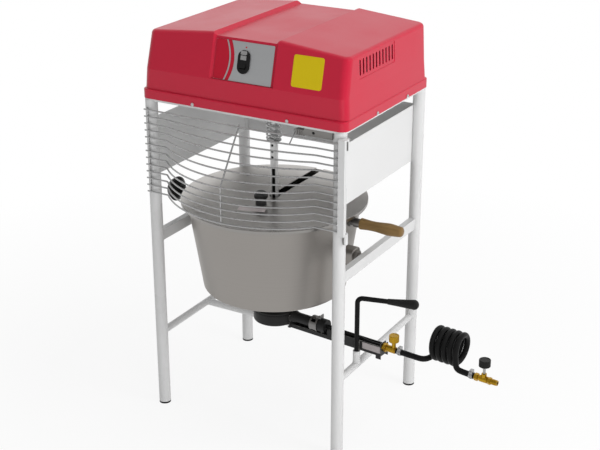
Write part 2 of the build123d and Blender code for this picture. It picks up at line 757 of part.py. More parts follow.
def pot_body():
    """The outside of the pot as a solid, to fit other pieces to it."""
    points = [(r + COPE if r else 0, z) for r, z in pot_outline()]
    return Pos(0, POT_Y, 0) * turned(points + [(0, POT_RIM_Z - POT_FLANGE_T)], [(1, POT_CORNER)])


def pot():
    """The tapered pot with its flange and the stud the agitator stands on."""
    under = POT_RIM_Z - POT_FLANGE_T
    points = pot_outline() + [(POT_FLANGE_R, under), (POT_FLANGE_R, POT_RIM_Z)]
    points += [(POT_TOP_R - POT_WALL, POT_RIM_Z)]
    points += [(POT_BASE_R - POT_WALL, POT_BASE_Z + POT_WALL), (0, POT_BASE_Z + POT_WALL)]
    shell = turned(points, [(1, POT_CORNER), (6, POT_CORNER - POT_WALL)])
    floor = POT_BASE_Z + POT_WALL
    stud = bar(STUD_D, (0, 0, floor - POT_WALL / 2), (0, 0, floor + STUD_H))
    return Pos(0, POT_Y, 0) * (shell + stud)


def trunnion(side):
    """The block on the pot's wall with the pin it tips on."""
    z = PIVOT_Z - BOSS_DROP
    face = RectangleRounded(BOSS_W, BOSS_H, BOSS_CORNER)
    lump = Plane(origin=(0, POT_Y, z), x_dir=(0, 1, 0), z_dir=(1, 0, 0)) * extrude(face, BOSS_X)
    lump = fillet(lump.faces().sort_by(Axis.X)[-1].edges(), 3.0)
    lump -= pot_body()
    end = LEG_X + RAIL_W / 2 - RAIL_WALL - 4 * GAP
    pin = bar(PIN_D, (BOSS_X - NUT_T, POT_Y, PIVOT_Z), (end, POT_Y, PIVOT_Z))
    nut = RegularPolygon(NUT_AF / 2, 6, major_radius=False)
    nut = Plane(origin=(BOSS_X - 1, POT_Y, PIVOT_Z), x_dir=(0, 1, 0), z_dir=(1, 0, 0)) * extrude(nut, NUT_T + 1)
    piece = lump + pin + nut
    return piece if side > 0 else mirror(piece, Plane.YZ)


def handle_ferrule():
    """The steel ferrule that joins the wooden handle to the pot."""
    z = PIVOT_Z + HANDLE_UP
    neck = bar(FERRULE_D * 0.7, (POT_BASE_R, POT_Y, z), (FERRULE_X, POT_Y, z))
    collar = bar(FERRULE_D, (FERRULE_X - FERRULE_L, POT_Y, z), (FERRULE_X, POT_Y, z))
    foot = bar(FERRULE_D * 1.1, (POT_BASE_R, POT_Y, z), (pot_radius(z) + 4.0, POT_Y, z))
    return neck + chamfer(collar.edges().filter_by(GeomType.CIRCLE), 1.5) + foot - pot_body()


def wooden_handle():
    """The turned wooden grip."""
    r = HANDLE_D / 2
    long = HANDLE_L
    points = [(0, 0), (0.95 * r, 0), (0.76 * r, 0.3 * long), (1.04 * r, 0.68 * long), (0.8 * r, long), (0, long)]
    grip = turned(points, [(2, 1.6 * long), (3, 0.7 * long), (4, 0.5 * r)])
    return Plane(origin=(FERRULE_X, POT_Y, PIVOT_Z + HANDLE_UP), z_dir=(1, 0, 0)) * grip


def side_knob():
    """The round knob on the pot's left side."""
    r = SIDE_KNOB_D / 2
    t = SIDE_KNOB_T
    points = [(0, 0), (0.55 * r, 0), (r, 0.3 * t), (r, 0.52 * t), (0.72 * r, 0.9 * t), (0, t)]
    knob = turned(points, [(2, 4.0), (3, 6.0), (4, 10.0)])
    stem = bar(SIDE_STEM_D, (0, 0, POT_BASE_R - SIDE_KNOB_X), (0, 0, 1.0))
    place = Plane(origin=(-SIDE_KNOB_X, POT_Y, PIVOT_Z + SIDE_KNOB_UP), z_dir=(-1, 0, 0))
    return place * (knob + stem) - pot_body()


def lid():
    """The flat lid with a turned-down lip and a slot from the shaft to the back."""
    inner = POT_FLANGE_R + GAP
    outer = inner + LID_LIP_T
    top = LID_Z + LID_T
    points = [(0, LID_Z), (inner, LID_Z), (inner, top - LID_LIP), (outer, top - LID_LIP), (outer, top), (0, top)]
    disc = Pos(0, POT_Y, 0) * turned(points, [(4, 1.4)])
    disc -= bar(LID_HOLE, (0, POT_Y, LID_Z - 1), (0, POT_Y, top + 1))
    return disc - block((-LID_SLOT / 2, LID_SLOT / 2), (POT_Y, POT_Y + 2 * outer), (LID_Z - LID_LIP, top + 1))


def lid_knob():
    """The mushroom knob in front of the shaft."""
    r = LID_KNOB_D / 2
    h = LID_KNOB_H
    points = [(0, 0), (0.85 * r, 0), (0.8 * r, 0.47 * h), (r, 0.53 * h), (r, 0.8 * h), (0.7 * r, h), (0, h)]
    knob = turned(points, [(3, 2.0), (4, 5.0), (5, 3.0)])
    return Pos(LID_KNOB_X, LID_KNOB_Y, LID_Z + LID_T) * knob


def hub_foot():
    return POT_BASE_Z + POT_WALL + BLADE_GAP


def agitator_hub():
    """The upright hub: it stands on the pot's stud and takes the shaft's tang in a fork on the tilt axis."""
    top = PIVOT_Z + HUB_D * 0.4
    hub = bar(HUB_D, (0, POT_Y, hub_foot()), (0, POT_Y, top))
    hub -= bar(STUD_D + 2 * RUN, (0, POT_Y, 0), (0, POT_Y, POT_BASE_Z + POT_WALL + STUD_H + GAP))
    half = TANG_T / 2 + GAP
    floor = PIVOT_Z - SHAFT_BORE / 2 - 2 * GAP
    return hub - block((-half, half), (POT_Y - HUB_D, POT_Y + HUB_D), (floor, top + 1))


def arm_edge(z, back):
    """Half the width of the agitator at a height, behind the pot's inner wall."""
    return pot_radius(z) - POT_WALL - back


def agitator_arms():
    """The anchor-shaped frame welded to the hub."""
    low = hub_foot() + BLADE_W
    high = POT_RIM_Z - ARM_TOP_DROP
    back = BLADE_GAP + BLADE_W
    outside = [(arm_edge(low, back), low), (arm_edge(high, back), high)]
    outside += [(-x, z) for x, z in reversed(outside)]
    inner_low = low + ARM_BAR
    inside = [(arm_edge(inner_low, back) - ARM_BAR, inner_low), (arm_edge(high, back) - ARM_BAR, high + 1)]
    inside += [(-x, z) for x, z in reversed(inside)]
    face = make_face(Polyline(*outside, close=True)) - make_face(Polyline(*inside, close=True))
    frame = Pos(0, POT_Y, 0) * extrude(Plane.XZ * face, ARM_T / 2, both=True)
    return frame - bar(HUB_D + 2 * COPE, (0, POT_Y, 0), (0, POT_Y, PIVOT_Z))


def scraper_blades():
    """Plastic blades along the agitator's foot and sides, just off the pot."""
    low = hub_foot() + BLADE_W
    high = POT_RIM_Z - ARM_TOP_DROP
    start = low + POT_CORNER
    back = BLADE_GAP + BLADE_W
    blades = []
    for side in (-1, 1):
        points = [
            (side * arm_edge(start, BLADE_GAP), start),
            (side * arm_edge(high, BLADE_GAP), high),
            (side * arm_edge(high, back - FIT), high),
            (side * arm_edge(start, back - FIT), start),
        ]
        blades.append(make_face(Polyline(*points, close=True)))
        foot = [
            (side * (HUB_D / 2 + 2), hub_foot()),
            (side * (arm_edge(hub_foot(), back)), hub_foot()),
            (side * (arm_edge(low, back)), low - FIT),
            (side * (HUB_D / 2 + 2), low - FIT),
        ]
        blades.append(make_face(Polyline(*foot, close=True)))
    return [Pos(0, POT_Y, 0) * extrude(Plane.XZ * face, BLADE_T / 2, both=True) for face in blades]


# Guard

def wire_z(i):
    return DECK_TOP - WIRE_DROP - i * WIRE_PITCH


def wire_y():
    return -LEG_Y - WIRE_FORWARD


def bulge(i):
    """How far a wire stands out at its middle; the upper wires stand out less."""
    share = min(1.0, i / (BULGE_WIRE - 1))
    return BULGE_TOP + (BULGE_LOW - BULGE_TOP) * share


def guard_wire(i):
    """One wire: straight ends, a kink and a round bulge to the front."""
    y = wire_y()
    z = wire_z(i)
    sag = bulge(i)
    big = (KINK_X**2 + sag**2) / (2 * sag)
    centre = y - sag + big
    turn = asin(KINK_X / big)
    small = max(KINK_R, 3.0 / turn)
    kink_y = y - small
    kink_x = sqrt((big + small) ** 2 - (kink_y - centre) ** 2)
    angle = atan2(kink_x, centre - kink_y)
    join = Vector(big * sin(angle), centre - big * cos(angle), z)
    middle = Vector(kink_x - small * sin(angle / 2), kink_y + small * cos(angle / 2), z)
    left = -(LEG_X + WIRE_OVER)
    right = LEG_X + CHANNEL_X + GUARD_CH_W - GUARD_CH_T

    def flip(p):
        return Vector(-p.X, p.Y, p.Z)

    start = Vector(kink_x, y, z)
    edges = [
        Line((left, y, z), flip(start)),
        ThreePointArc(flip(start), flip(middle), flip(join)),
        ThreePointArc(flip(join), (0, y - sag, z), join),
        ThreePointArc(join, middle, start),
        Line(start, (right, y, z)),
    ]
    return swept(edges, WIRE_D)


def guard_tie():
    """The upright wire behind the bulge that holds the others apart."""
    behind = WIRE_D * 0.8
    last = WIRE_COUNT - 1
    bend = BULGE_WIRE - 1
    lean = atan2(bulge(bend) - bulge(0), wire_z(0) - wire_z(bend))
    top = Vector(TIE_X, wire_y() - bulge(0) + behind * cos(lean), wire_z(0) + WIRE_D)
    knee = Vector(TIE_X, wire_y() - bulge(bend) + behind, wire_z(bend))
    foot = Vector(TIE_X, wire_y() - bulge(last) + behind, wire_z(last) - WIRE_D)
    return swept(FilletPolyline(top, knee, foot, radius=20.0).edges(), WIRE_D)


def guard_wires():
    """All the wires, the tie and the left end bar, welded into one piece."""
    y = wire_y() + (WIRE_D + GUARD_BAR_D) / 2 - 0.8
    high = wire_z(0) + 2 * WIRE_D
    low = wire_z(WIRE_COUNT - 1) - 2 * WIRE_D
    end_bar = bar(GUARD_BAR_D, (-LEG_X, y, low), (-LEG_X, y, high))
    wires = [guard_wire(i) for i in range(WIRE_COUNT)]
    return end_bar + wires + guard_tie()


def hinge_at():
    """Plan position of the guard's hinge axis, beside the front right leg."""
    turn = radians(EYE_TURN)
    return LEG_X + EYE_OUT * cos(turn), -LEG_Y + EYE_OUT * sin(turn)


def channel_z():
    top = DECK_TOP - GUARD_CH_TOP
    return top - GUARD_CH_H, top


def guard_channel():
    """The folded channel on the wires' right ends, with a pin at each end for the hinge eyes."""
    low, high = channel_z()
    x = (LEG_X + CHANNEL_X, LEG_X + CHANNEL_X + GUARD_CH_W)
    y = (-LEG_Y - GUARD_CH_FRONT, -LEG_Y - GUARD_CH_FRONT + GUARD_CH_D)
    piece = block(x, y, (low, high))
    hollow_y = (y[0] + GUARD_CH_T, y[1] - GUARD_CH_T)
    piece -= block((x[0] - 1, x[1] - GUARD_CH_T), hollow_y, (low + EYE_TAB, high - EYE_TAB))
    hx, hy = hinge_at()
    for foot in (low, high - EYE_TAB):
        tab = block((hx - EYE_D / 2, hx + EYE_D / 2), (y[1] - 1, hy), (foot, foot + EYE_TAB))
        tab += bar(EYE_D, (hx, hy, foot), (hx, hy, foot + EYE_TAB))
        piece += tab + bar(EYE_PIN_D, (hx, hy, foot - EYE_H - 2), (hx, hy, foot + 1))
    return piece


def hinge_eyes():
    """The two sleeves on the front right leg that carry the guard's pins."""
    low, high = channel_z()
    hx, hy = hinge_at()
    eyes = []
    for top in (low - GAP, high - EYE_TAB - GAP):
        eye = bar(EYE_D, (hx, hy, top - EYE_H), (hx, hy, top))
        lug = Pos(LEG_X, -LEG_Y, top - EYE_H / 2) * Rot(0, 0, EYE_TURN) * Pos(EYE_OUT / 2, 0, 0)
        eye += lug * Box(EYE_OUT, EYE_D / 2, EYE_H * 0.7)
        eye -= bar(EYE_PIN_D + 2 * RUN, (hx, hy, top - EYE_H - 1), (hx, hy, top + 1))
        eyes.append(eye - bar(LEG_D + 2 * COPE, (LEG_X, -LEG_Y, 0), (LEG_X, -LEG_Y, LEG_TOP)))
    return eyes


# Limit switch

def lever_z():
    return DECK_TOP - LEVER_DROP


def limit_switch():
    """The switch box under the deck, its ribbed head and the pin of the lever."""
    body = block(LIMIT_X, LIMIT_Y, (LEG_TOP - LIMIT_H, LEG_TOP))
    head_z = (lever_z() - LIMIT_HEAD_H / 2, lever_z() + LIMIT_HEAD_H / 2)
    head = block((LIMIT_HEAD_X, LIMIT_X[0]), (LIMIT_Y[0], LIMIT_Y[1]), head_z)
    step = (LIMIT_X[0] - LIMIT_HEAD_X) / 4
    for i in range(1, 4):
        x = LIMIT_HEAD_X + i * step
        head -= block((x - 1.2, x + 1.2), (LIMIT_Y[0] - 1, LIMIT_Y[0] + 3), (head_z[0] - 1, head_z[1] + 1))
    pin_end = LEVER_X - LEVER_HUB_D / 2
    pin = bar(LEVER_PIN_D, (pin_end, LEVER_Y, lever_z()), (LIMIT_HEAD_X + 1, LEVER_Y, lever_z()))
    return body + head + pin


def limit_lever():
    """The lever that feels the guard's second wire."""
    z = lever_z()
    half = LEVER_HUB_D / 3
    hub = bar(LEVER_HUB_D, (LEVER_X - half, LEVER_Y, z), (LEVER_X + half, LEVER_Y, z))
    sag = bulge(1)
    big = (KINK_X**2 + sag**2) / (2 * sag)
    front = wire_y() - sag + big - sqrt(big**2 - LEVER_X**2)
    tip = (LEVER_X, front + WIRE_D / 2 + LEVER_TIP_D / 2 + GAP, wire_z(1))
    arm = bar(LEVER_WIRE, (LEVER_X, LEVER_Y, z), tip)
    tip_ball = Pos(*tip) * Sphere(LEVER_TIP_D / 2)
    hole = bar(LEVER_PIN_D + 2 * RUN, (LEVER_X - 2 * half, LEVER_Y, z), (LEVER_X + 2 * half, LEVER_Y, z))
    return hub + arm + tip_ball - hole


# Burner and gas line, drawn along local X from the burner's axis

def arm_frame():
    """Where the burner's arm lies: it passes the burner's axis and stands just behind the lever."""
    dx = LEG_X
    dy = SWING_Y - POT_Y
    side = lever_side()
    along = sqrt(dx**2 + dy**2 - side**2)
    turn = atan2(dy, dx) - atan2(side, along)
    return Pos(0, POT_Y, 0) * Rot(0, 0, degrees(turn)), along, turn


def lever_side():
    return -(LEVER_D + BURNER_ARM_W) / 2 - GAP


def burner_head():
    """The hollow cast head of the burner."""
    r = HEAD_D / 2
    z = HEAD_Z
    top = z + HEAD_H
    points = [(0, z), (0.78 * r, z), (r, z + 0.3 * HEAD_H), (r, top - 4), (0.82 * r, top), (0, top)]
    wall = 4.0
    hollow = [(0, z + wall), (0.7 * r, z + wall), (r - wall, z + 0.34 * HEAD_H), (r - wall, top - 10), (0, top - 7)]
    head = turned(points, [(1, 6.0), (2, 8.0), (3, 2.0), (4, 4.0)]) - turned(hollow)
    return head - bar(VENTURI_D + 2 * FIT, (0, 0, VENTURI_Z), (HEAD_D, 0, VENTURI_Z))


def venturi():
    """The mixing tube with its wide air mouth."""
    z = VENTURI_Z
    tube = bar(VENTURI_D, (HEAD_D / 2 - 4, 0, z), (MOUTH_START + 2, 0, z))
    start = HEAD_D / 2 + BURNER_ARM_T + FIT
    r = VENTURI_D / 2
    flare = turned([(0, 0), (r + FLARE, 0), (r, 4 * FLARE), (0, 4 * FLARE)])
    tube += Plane(origin=(start, 0, z), z_dir=(1, 0, 0)) * flare
    mouth = bar(VENTURI_MOUTH_D, (MOUTH_START, 0, z), (MOUTH_END, 0, z))
    mouth = chamfer(mouth.edges().filter_by(GeomType.CIRCLE).sort_by(Axis.X)[0], 4.0)
    bore = bar(VENTURI_D - 5, (0, 0, z), (MOUTH_START + 4, 0, z))
    inside = bar(VENTURI_MOUTH_D - 5, (MOUTH_START + 4, 0, z), (MOUTH_END - 3, 0, z))
    jet = bar(PIPE_D + 2 * FIT, (MOUTH_END - 4, 0, z), (MOUTH_END + 1, 0, z))
    return tube + mouth - bore - inside - jet - air_ports()


def air_ports():
    """Four air openings round the mouth, under the shutter."""
    z = VENTURI_Z
    middle = SHUTTER_START + SHUTTER_L / 2
    port = Box(SHUTTER_L * 0.6, 9.0, VENTURI_MOUTH_D * 2)
    return [Pos(middle, 0, z) * Rot(a, 0, 0) * port for a in (45, 135)]


def air_shutter():
    """The ring that opens and closes the air ports, with its bent tab."""
    z = VENTURI_Z
    inner = VENTURI_MOUTH_D / 2 + GAP
    outer = inner + SHUTTER_T
    x = (SHUTTER_START, SHUTTER_START + SHUTTER_L)
    ring = bar(2 * outer, (x[0], 0, z), (x[1], 0, z))
    tab = block((x[1] - 8, x[1] + 7), (-7, 7), (z + outer - 1.2, z + outer + 0.6))
    tab += block((x[1] + 5, x[1] + 7), (-7, 7), (z + outer - 1.2, z + outer + 9.5))
    ring += tab
    ring -= bar(2 * inner, (x[0] - 1, 0, z), (x[1] + 1, 0, z))
    return ring - air_ports()


def burner_arm():
    """The U-shaped arm under the burner, its stepped sides, neck plate, end bracket and the web to the lever."""
    half = BURNER_ARM_W / 2
    t = BURNER_ARM_T
    floor = ARM_Z + t
    piece = block((ARM_START, ARM_END), (-half, half), (ARM_Z, floor))
    for y in ((-half, -half + t), (half - t, half)):
        piece += block((ARM_START, ARM_END), y, (ARM_Z, ARM_Z + ARM_LOW))
        piece += block((ARM_STEP, ARM_END), y, (ARM_Z, ARM_Z + ARM_HIGH))
    piece += block((ARM_END - t, ARM_END), (-half, half), (ARM_Z, ARM_Z + ARM_HIGH + 8))
    saddle = block((MOUTH_END - 12, MOUTH_END - 9), (-half, half), (ARM_Z, VENTURI_Z - 6.5))
    saddle -= bar(VENTURI_MOUTH_D + 2 * FIT, (0, 0, VENTURI_Z), (MOUTH_END, 0, VENTURI_Z))
    piece += saddle
    piece += block((ARM_START, HEAD_D / 2 + t), (-NECK_W / 2, NECK_W / 2), (ARM_Z, ARM_Z + NECK_H))
    piece += block((ARM_END - t, ARM_END), (-half, half + REST_W), (ARM_Z, ARM_Z + ARM_HIGH))
    for y in ((-half, -half + t), (half + REST_W - t, half + REST_W)):
        piece += block((ARM_END - REST_L, ARM_END), y, (ARM_Z - REST_DROP, ARM_Z + t))
    _, along, _ = arm_frame()
    side = lever_side()
    piece += block((along - LEVER_D / 2, along + LEVER_D / 2), (side, -half + t / 2), (ARM_Z, ARM_Z + ARM_HIGH))
    piece -= bar(LEVER_D + 2 * FIT, (along, side, 0), (along, side, LEVER_TOP))
    piece -= bar(PIPE_D + 2 * FIT, (ARM_END - 2 * t, 0, GAS_Z), (ARM_END + 1, 0, GAS_Z))
    piece -= bar(VENTURI_D + 2 * FIT, (0, 0, VENTURI_Z), (HEAD_D, 0, VENTURI_Z))
    return piece - bar(HEAD_D + 2 * FIT, (0, 0, ARM_Z + t), (0, 0, VENTURI_Z + NECK_H))


def gas_pipe():
    """The bent pipe from the valve to the jet."""
    z = VENTURI_Z
    first, second = [ARM_END - d for d in PIPE_BENDS]
    points = [(ARM_END - FIT, 0, GAS_Z), (first, 0, GAS_Z), (second, 0, z), (MOUTH_END - 3, 0, z)]
    pipe = swept(FilletPolyline(*points, radius=40.0).edges(), PIPE_D)
    nut = Plane(origin=(MOUTH_END + 4, 0, z), z_dir=(1, 0, 0)) * extrude(RegularPolygon(7.5, 6), 14.0)
    return pipe + nut


def lever_rod():
    """The upright rod the burner turns on, bent over at the top."""
    _, along, turn = arm_frame()
    side = lever_side()
    out = radians(LEVER_TURN) - turn
    low = LOW_RAIL_Z + LOW_RAIL_D / 2 + GAP
    reach = GRIP_START + 24.0
    end = (along + reach * cos(out), side + reach * sin(out), LEVER_TOP)
    path = FilletPolyline((along, side, low), (along, side, LEVER_TOP), end, radius=LEVER_BEND)
    return swept(path.edges(), LEVER_D)


def lever_grip():
    """The tapered grip on the lever."""
    _, along, turn = arm_frame()
    length = GRIP_END - GRIP_START
    r0 = GRIP_D[0] / 2
    r1 = GRIP_D[1] / 2
    points = [(0, 0), (r0 + 1.5, 0), (r0 + 1.5, 4), (r0 + 0.8, 7), (r1, length - 0.8 * r1), (0.5 * r1, length), (0, length)]
    grip = turned(points, [(4, 9.0), (5, 4.0)])
    grip -= bar(LEVER_D + 2 * FIT, (0, 0, -1), (0, 0, 24.0 + FIT))
    out = radians(LEVER_TURN) - turn
    start = (along + GRIP_START * cos(out), lever_side() + GRIP_START * sin(out), LEVER_TOP)
    return Plane(origin=start, z_dir=(cos(out), sin(out), 0)) * grip


def hexagon(flats, x0, x1, z):
    """A hexagonal nut along X."""
    plane = Plane(origin=(x0, 0, z), x_dir=(0, 1, 0), z_dir=(1, 0, 0))
    return plane * extrude(RegularPolygon(flats / 2, 6, major_radius=False), x1 - x0)


def gas_valve():
    """The brass valve at the end of the arm."""
    z = GAS_Z
    body = bar(VALVE_D - 3, (ARM_END, 0, z), (VALVE_END, 0, z))
    body += hexagon(VALVE_D + 3, ARM_END, ARM_END + 10, z)
    body += Pos(VALVE_STEM_T - 6, 0, z) * Rot(0, 90, 0) * Cylinder(VALVE_D / 2 + 0.5, 22)
    body += bar(VALVE_NECK_D, (VALVE_STEM_T, 0, z), (VALVE_STEM_T, 0, GAS_KNOB_Z[0] - GAP))
    return body - bar(STEM_D + 2 * RUN, (VALVE_STEM_T, 0, z), (VALVE_STEM_T, 0, GAS_KNOB_Z[0] + 1))


def round_knob(d, z, stem_low, t):
    """A turned knob on a stem."""
    r = d / 2
    low, high = z
    points = [(0, low), (0.8 * r, low), (r, low + 3), (r, high - 4), (0.75 * r, high), (0, high)]
    knob = turned(points, [(2, 1.5), (3, 2.5)])
    return Pos(t, 0, 0) * (knob + bar(STEM_D, (0, 0, stem_low), (0, 0, low + 1)))


def gas_knob():
    return round_knob(GAS_KNOB_D, GAS_KNOB_Z, GAS_Z + GAP, VALVE_STEM_T)


def inlet_valve():
    """The brass valve and threaded nipple at the far end of the hose."""
    z = GAS_Z
    neck = z + INLET_D
    body = bar(INLET_D - 3, (INLET_T, 0, z), (INLET_END - NIPPLE_LEN, 0, z))
    body += hexagon(INLET_D + 2, INLET_T, INLET_T + 9, z)
    body += Pos(INLET_STEM_T, 0, z) * Rot(0, 90, 0) * Cylinder(INLET_D / 2 + 1, 20)
    body += bar(INLET_D - 2, (INLET_STEM_T, 0, z), (INLET_STEM_T, 0, neck))
    body += hexagon(INLET_D + 1, INLET_END - NIPPLE_LEN - 7, INLET_END - NIPPLE_LEN, z)
    body += bar(NIPPLE_D, (INLET_END - NIPPLE_LEN - 1, 0, z), (INLET_END, 0, z))
    body -= bar(NIPPLE_D - 5, (INLET_END - 24, 0, z), (INLET_END + 1, 0, z))
    return body - bar(STEM_D + 2 * RUN, (INLET_STEM_T, 0, z), (INLET_STEM_T, 0, neck + 1))


def inlet_knob():
    return round_knob(INLET_KNOB_D, INLET_KNOB_Z, GAS_Z + GAP, INLET_STEM_T)


def lead_bend():
    """Where the hose leaves the valves' line for the coil, and the coil's first direction."""
    lead = COIL_PITCH / (2 * pi)
    first = Vector(lead, COIL_R, 0).normalized()
    radius = COIL_R / (1 - first.X)
    return Vector(COIL_T - radius * first.Y, 0, GAS_Z), first, radius


def hose_lead():
    """The straight hose on the first valve."""
    bend, _, _ = lead_bend()
    return bar(HOSE_D, (VALVE_END, 0, GAS_Z), bend - Vector(HOSE_D, 0, 0))


def hose_coil():
    """The wound part of the hose, about a line beside and above the valves' line, and its run to the inlet valve."""
    bend, first, radius = lead_bend()
    place = Plane(origin=(COIL_T, COIL_R, GAS_Z + COIL_R), x_dir=(0, 0, -1), z_dir=(1, 0, 0))
    turns = [place * e for e in winding(COIL_R, COIL_PITCH, COIL_TURNS)]
    end = turns[-1] @ 1
    down = Vector(first.X, 0, -first.Y)
    low = end + down * ((COIL_R - TAIL_BEND * (1 - down.X)) / -down.Z)
    out = Vector(low.X - TAIL_BEND * down.Z, 0, GAS_Z)
    edges = [
        Line(bend - Vector(HOSE_D, 0, 0), bend),
        TangentArc(bend, turns[0] @ 0, tangent=(1, 0, 0)),
        *turns,
        Line(end, low),
        TangentArc(low, out, tangent=down),
        Line(out, (INLET_T, 0, GAS_Z)),
    ]
    tube = swept(edges, HOSE_D)
    length = sum(e.length for e in edges)
    print("hose bends", round(radius, 1), TAIL_BEND, "least gap to itself", least_gap(edges, HOSE_D))
    print("hose volume over section times length", round(tube.volume / (pi * HOSE_D**2 / 4 * length), 4))
    return tube


def hose_clamp(t):
    """A band clamp on the hose with its screw housing on top."""
    inner = HOSE_D / 2 + FIT
    outer = inner + CLAMP_T
    band = bar(2 * outer, (t - CLAMP_W / 2, 0, GAS_Z), (t + CLAMP_W / 2, 0, GAS_Z))
    ear = block((t - 4, t + 4), (-6, 6), (GAS_Z, GAS_Z + outer + 5.5))
    return band + ear - bar(2 * inner, (t - CLAMP_W, 0, GAS_Z), (t + CLAMP_W, 0, GAS_Z))


def build():
    """Every node by name."""
    arm, _, _ = arm_frame()
    nodes = {
        "leg_front_left": leg(-LEG_X, -LEG_Y),
        "leg_front_right": leg(LEG_X, -LEG_Y),
        "leg_rear_left": leg(-LEG_X, LEG_Y),
        "leg_rear_right": leg(LEG_X, LEG_Y),
        "foot_caps": [foot_cap(x, y) for x in (-LEG_X, LEG_X) for y in (-LEG_Y, LEG_Y)],
        "deck_plate": deck_plate(),
        "side_panel_left": side_panel(-1),
        "side_panel_right": side_panel(1),
        "rear_panel": rear_panel(),
        "pivot_rail_left": pivot_rail(-1),
        "pivot_rail_right": pivot_rail(1),
        "lower_rail_left": lower_rail(-1),
        "lower_rail_right": lower_rail(1),
        "cross_rail": cross_rail(),
        "burner_socket": burner_socket(),
        "hood": hood(),
        "hood_screws": [hood_screw(at, out) for at, out in hood_screw_places()],
        "control_panel": control_panel(),
        "switch_housing": switch_housing(),
        "switch_rocker": switch_rocker(),
        "motor": motor(),
        "motor_shaft": motor_shaft(),
        "motor_pulley": pulley(MOTOR_PULLEY_D, MOTOR_SHAFT_D, MOTOR_Y, MOTOR_Z),
        "drive_belt": drive_belt(),
        "gearbox": gearbox(),
        "worm_shaft": worm_shaft(),
        "worm_pulley": pulley(WORM_PULLEY_D, WORM_D, WORM_Y, WORM_Z),
        "drive_tube": drive_tube(),
        "drive_rod": drive_rod(),
        "shaft_spring": shaft_spring(),
        "spring_washers": spring_washers(),
        "pot": pot(),
        "trunnions": [trunnion(-1), trunnion(1)],
        "handle_ferrule": handle_ferrule(),
        "wooden_handle": wooden_handle(),
        "side_knob": side_knob(),
        "lid": lid(),
        "lid_knob": lid_knob(),
        "agitator_hub": agitator_hub(),
        "agitator_arms": agitator_arms(),
        "scraper_blades": scraper_blades(),
        "guard_wires": guard_wires(),
        "guard_channel": guard_channel(),
        "hinge_eyes": hinge_eyes(),
        "limit_switch": limit_switch(),
        "limit_lever": limit_lever(),
        "lever_rod": arm * lever_rod(),
        "lever_grip": arm * lever_grip(),
        "burner_head": arm * burner_head(),
        "venturi": arm * venturi(),
        "air_shutter": arm * air_shutter(),
        "burner_arm": arm * burner_arm(),
        "gas_pipe": arm * gas_pipe(),
        "gas_valve": arm * gas_valve(),
        "gas_knob": arm * gas_knob(),
        "inlet_valve": arm * inlet_valve(),
        "inlet_knob": arm * inlet_knob(),
    }
    nodes["hose_lead"] = arm * hose_lead()
    nodes["hose_coil"] = arm * hose_coil()
    nodes["hose_clamps"] = [arm * hose_clamp(VALVE_END + 11.0), arm * hose_clamp(INLET_T - 10.0)]
    return nodes


os.makedirs("parts", exist_ok=True)
for name, shape in build().items():
    if isinstance(shape, list):
        shape = Compound(children=shape)
    export_step(shape, f"parts/{name}.step")
    box = shape.bounding_box()
    print(name, len(shape.solids()), [round(v, 1) for v in (*box.min, *box.max)])
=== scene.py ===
# %% [markdown]
# # Dressing a gas-heated dough mixer
# The solids of the machine come ready from the CAD model: a white tube frame, a red hood over the drive,
# a tipping pot with its lid, a wire guard and a burner that swings out.
# This lesson gives each of them its finish, adds the small work that the solids leave out,
# and sets up the camera and the light.

from math import cos, pi, radians, sin, sqrt

import bmesh
import bpy
from mathutils import Matrix, Vector


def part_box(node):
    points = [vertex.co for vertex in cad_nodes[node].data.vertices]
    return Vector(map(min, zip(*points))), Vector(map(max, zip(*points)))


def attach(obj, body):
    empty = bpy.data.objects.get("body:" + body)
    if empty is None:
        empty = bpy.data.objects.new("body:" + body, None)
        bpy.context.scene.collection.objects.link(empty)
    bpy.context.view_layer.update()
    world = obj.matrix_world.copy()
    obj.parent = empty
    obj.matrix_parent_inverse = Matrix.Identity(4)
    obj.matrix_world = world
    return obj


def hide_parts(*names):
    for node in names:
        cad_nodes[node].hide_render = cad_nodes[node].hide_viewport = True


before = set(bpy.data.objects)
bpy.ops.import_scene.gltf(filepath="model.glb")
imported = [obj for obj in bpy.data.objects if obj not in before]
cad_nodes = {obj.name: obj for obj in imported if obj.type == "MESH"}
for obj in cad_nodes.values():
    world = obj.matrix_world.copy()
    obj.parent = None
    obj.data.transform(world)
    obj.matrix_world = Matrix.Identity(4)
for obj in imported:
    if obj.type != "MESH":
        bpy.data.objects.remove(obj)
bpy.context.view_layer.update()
X = Vector((1, 0, 0))
Y = Vector((0, 1, 0))
Z = Vector((0, 0, 1))
print("solids", len(cad_nodes))

# %% [markdown]
# ## Camera
# The photograph was taken from the right front corner, a little above the hood, with a long lens.
# A camera can be placed by eye. This one was solved by setting known edges of the frame against the
# picture, which is more exact, so its place is written as plain numbers.

# %% Camera
CAMERA_AT = Vector((1.59193, -2.68544, 1.79189))
LOOKS_AT = Vector((0.03754, 0.0, 0.51596))
LENS_MM = 75.87
SENSOR_MM = 36.0


def link(name, data):
    """A new object with its data, in the scene."""
    made = bpy.data.objects.new(name, data)
    bpy.context.collection.objects.link(made)
    return made


def aimed(place, target):
    """The turn that points a camera or a lamp at a target."""
    return (target - place).to_track_quat("-Z", "Y").to_euler()


camera_data = bpy.data.cameras.new("photo_camera")
camera_data.lens = LENS_MM
camera_data.sensor_width = SENSOR_MM
camera = link("photo_camera", camera_data)
camera.location = CAMERA_AT
camera.rotation_euler = aimed(CAMERA_AT, LOOKS_AT)
bpy.context.scene.camera = camera
print("camera", round((LOOKS_AT - CAMERA_AT).length, 3), "m away")

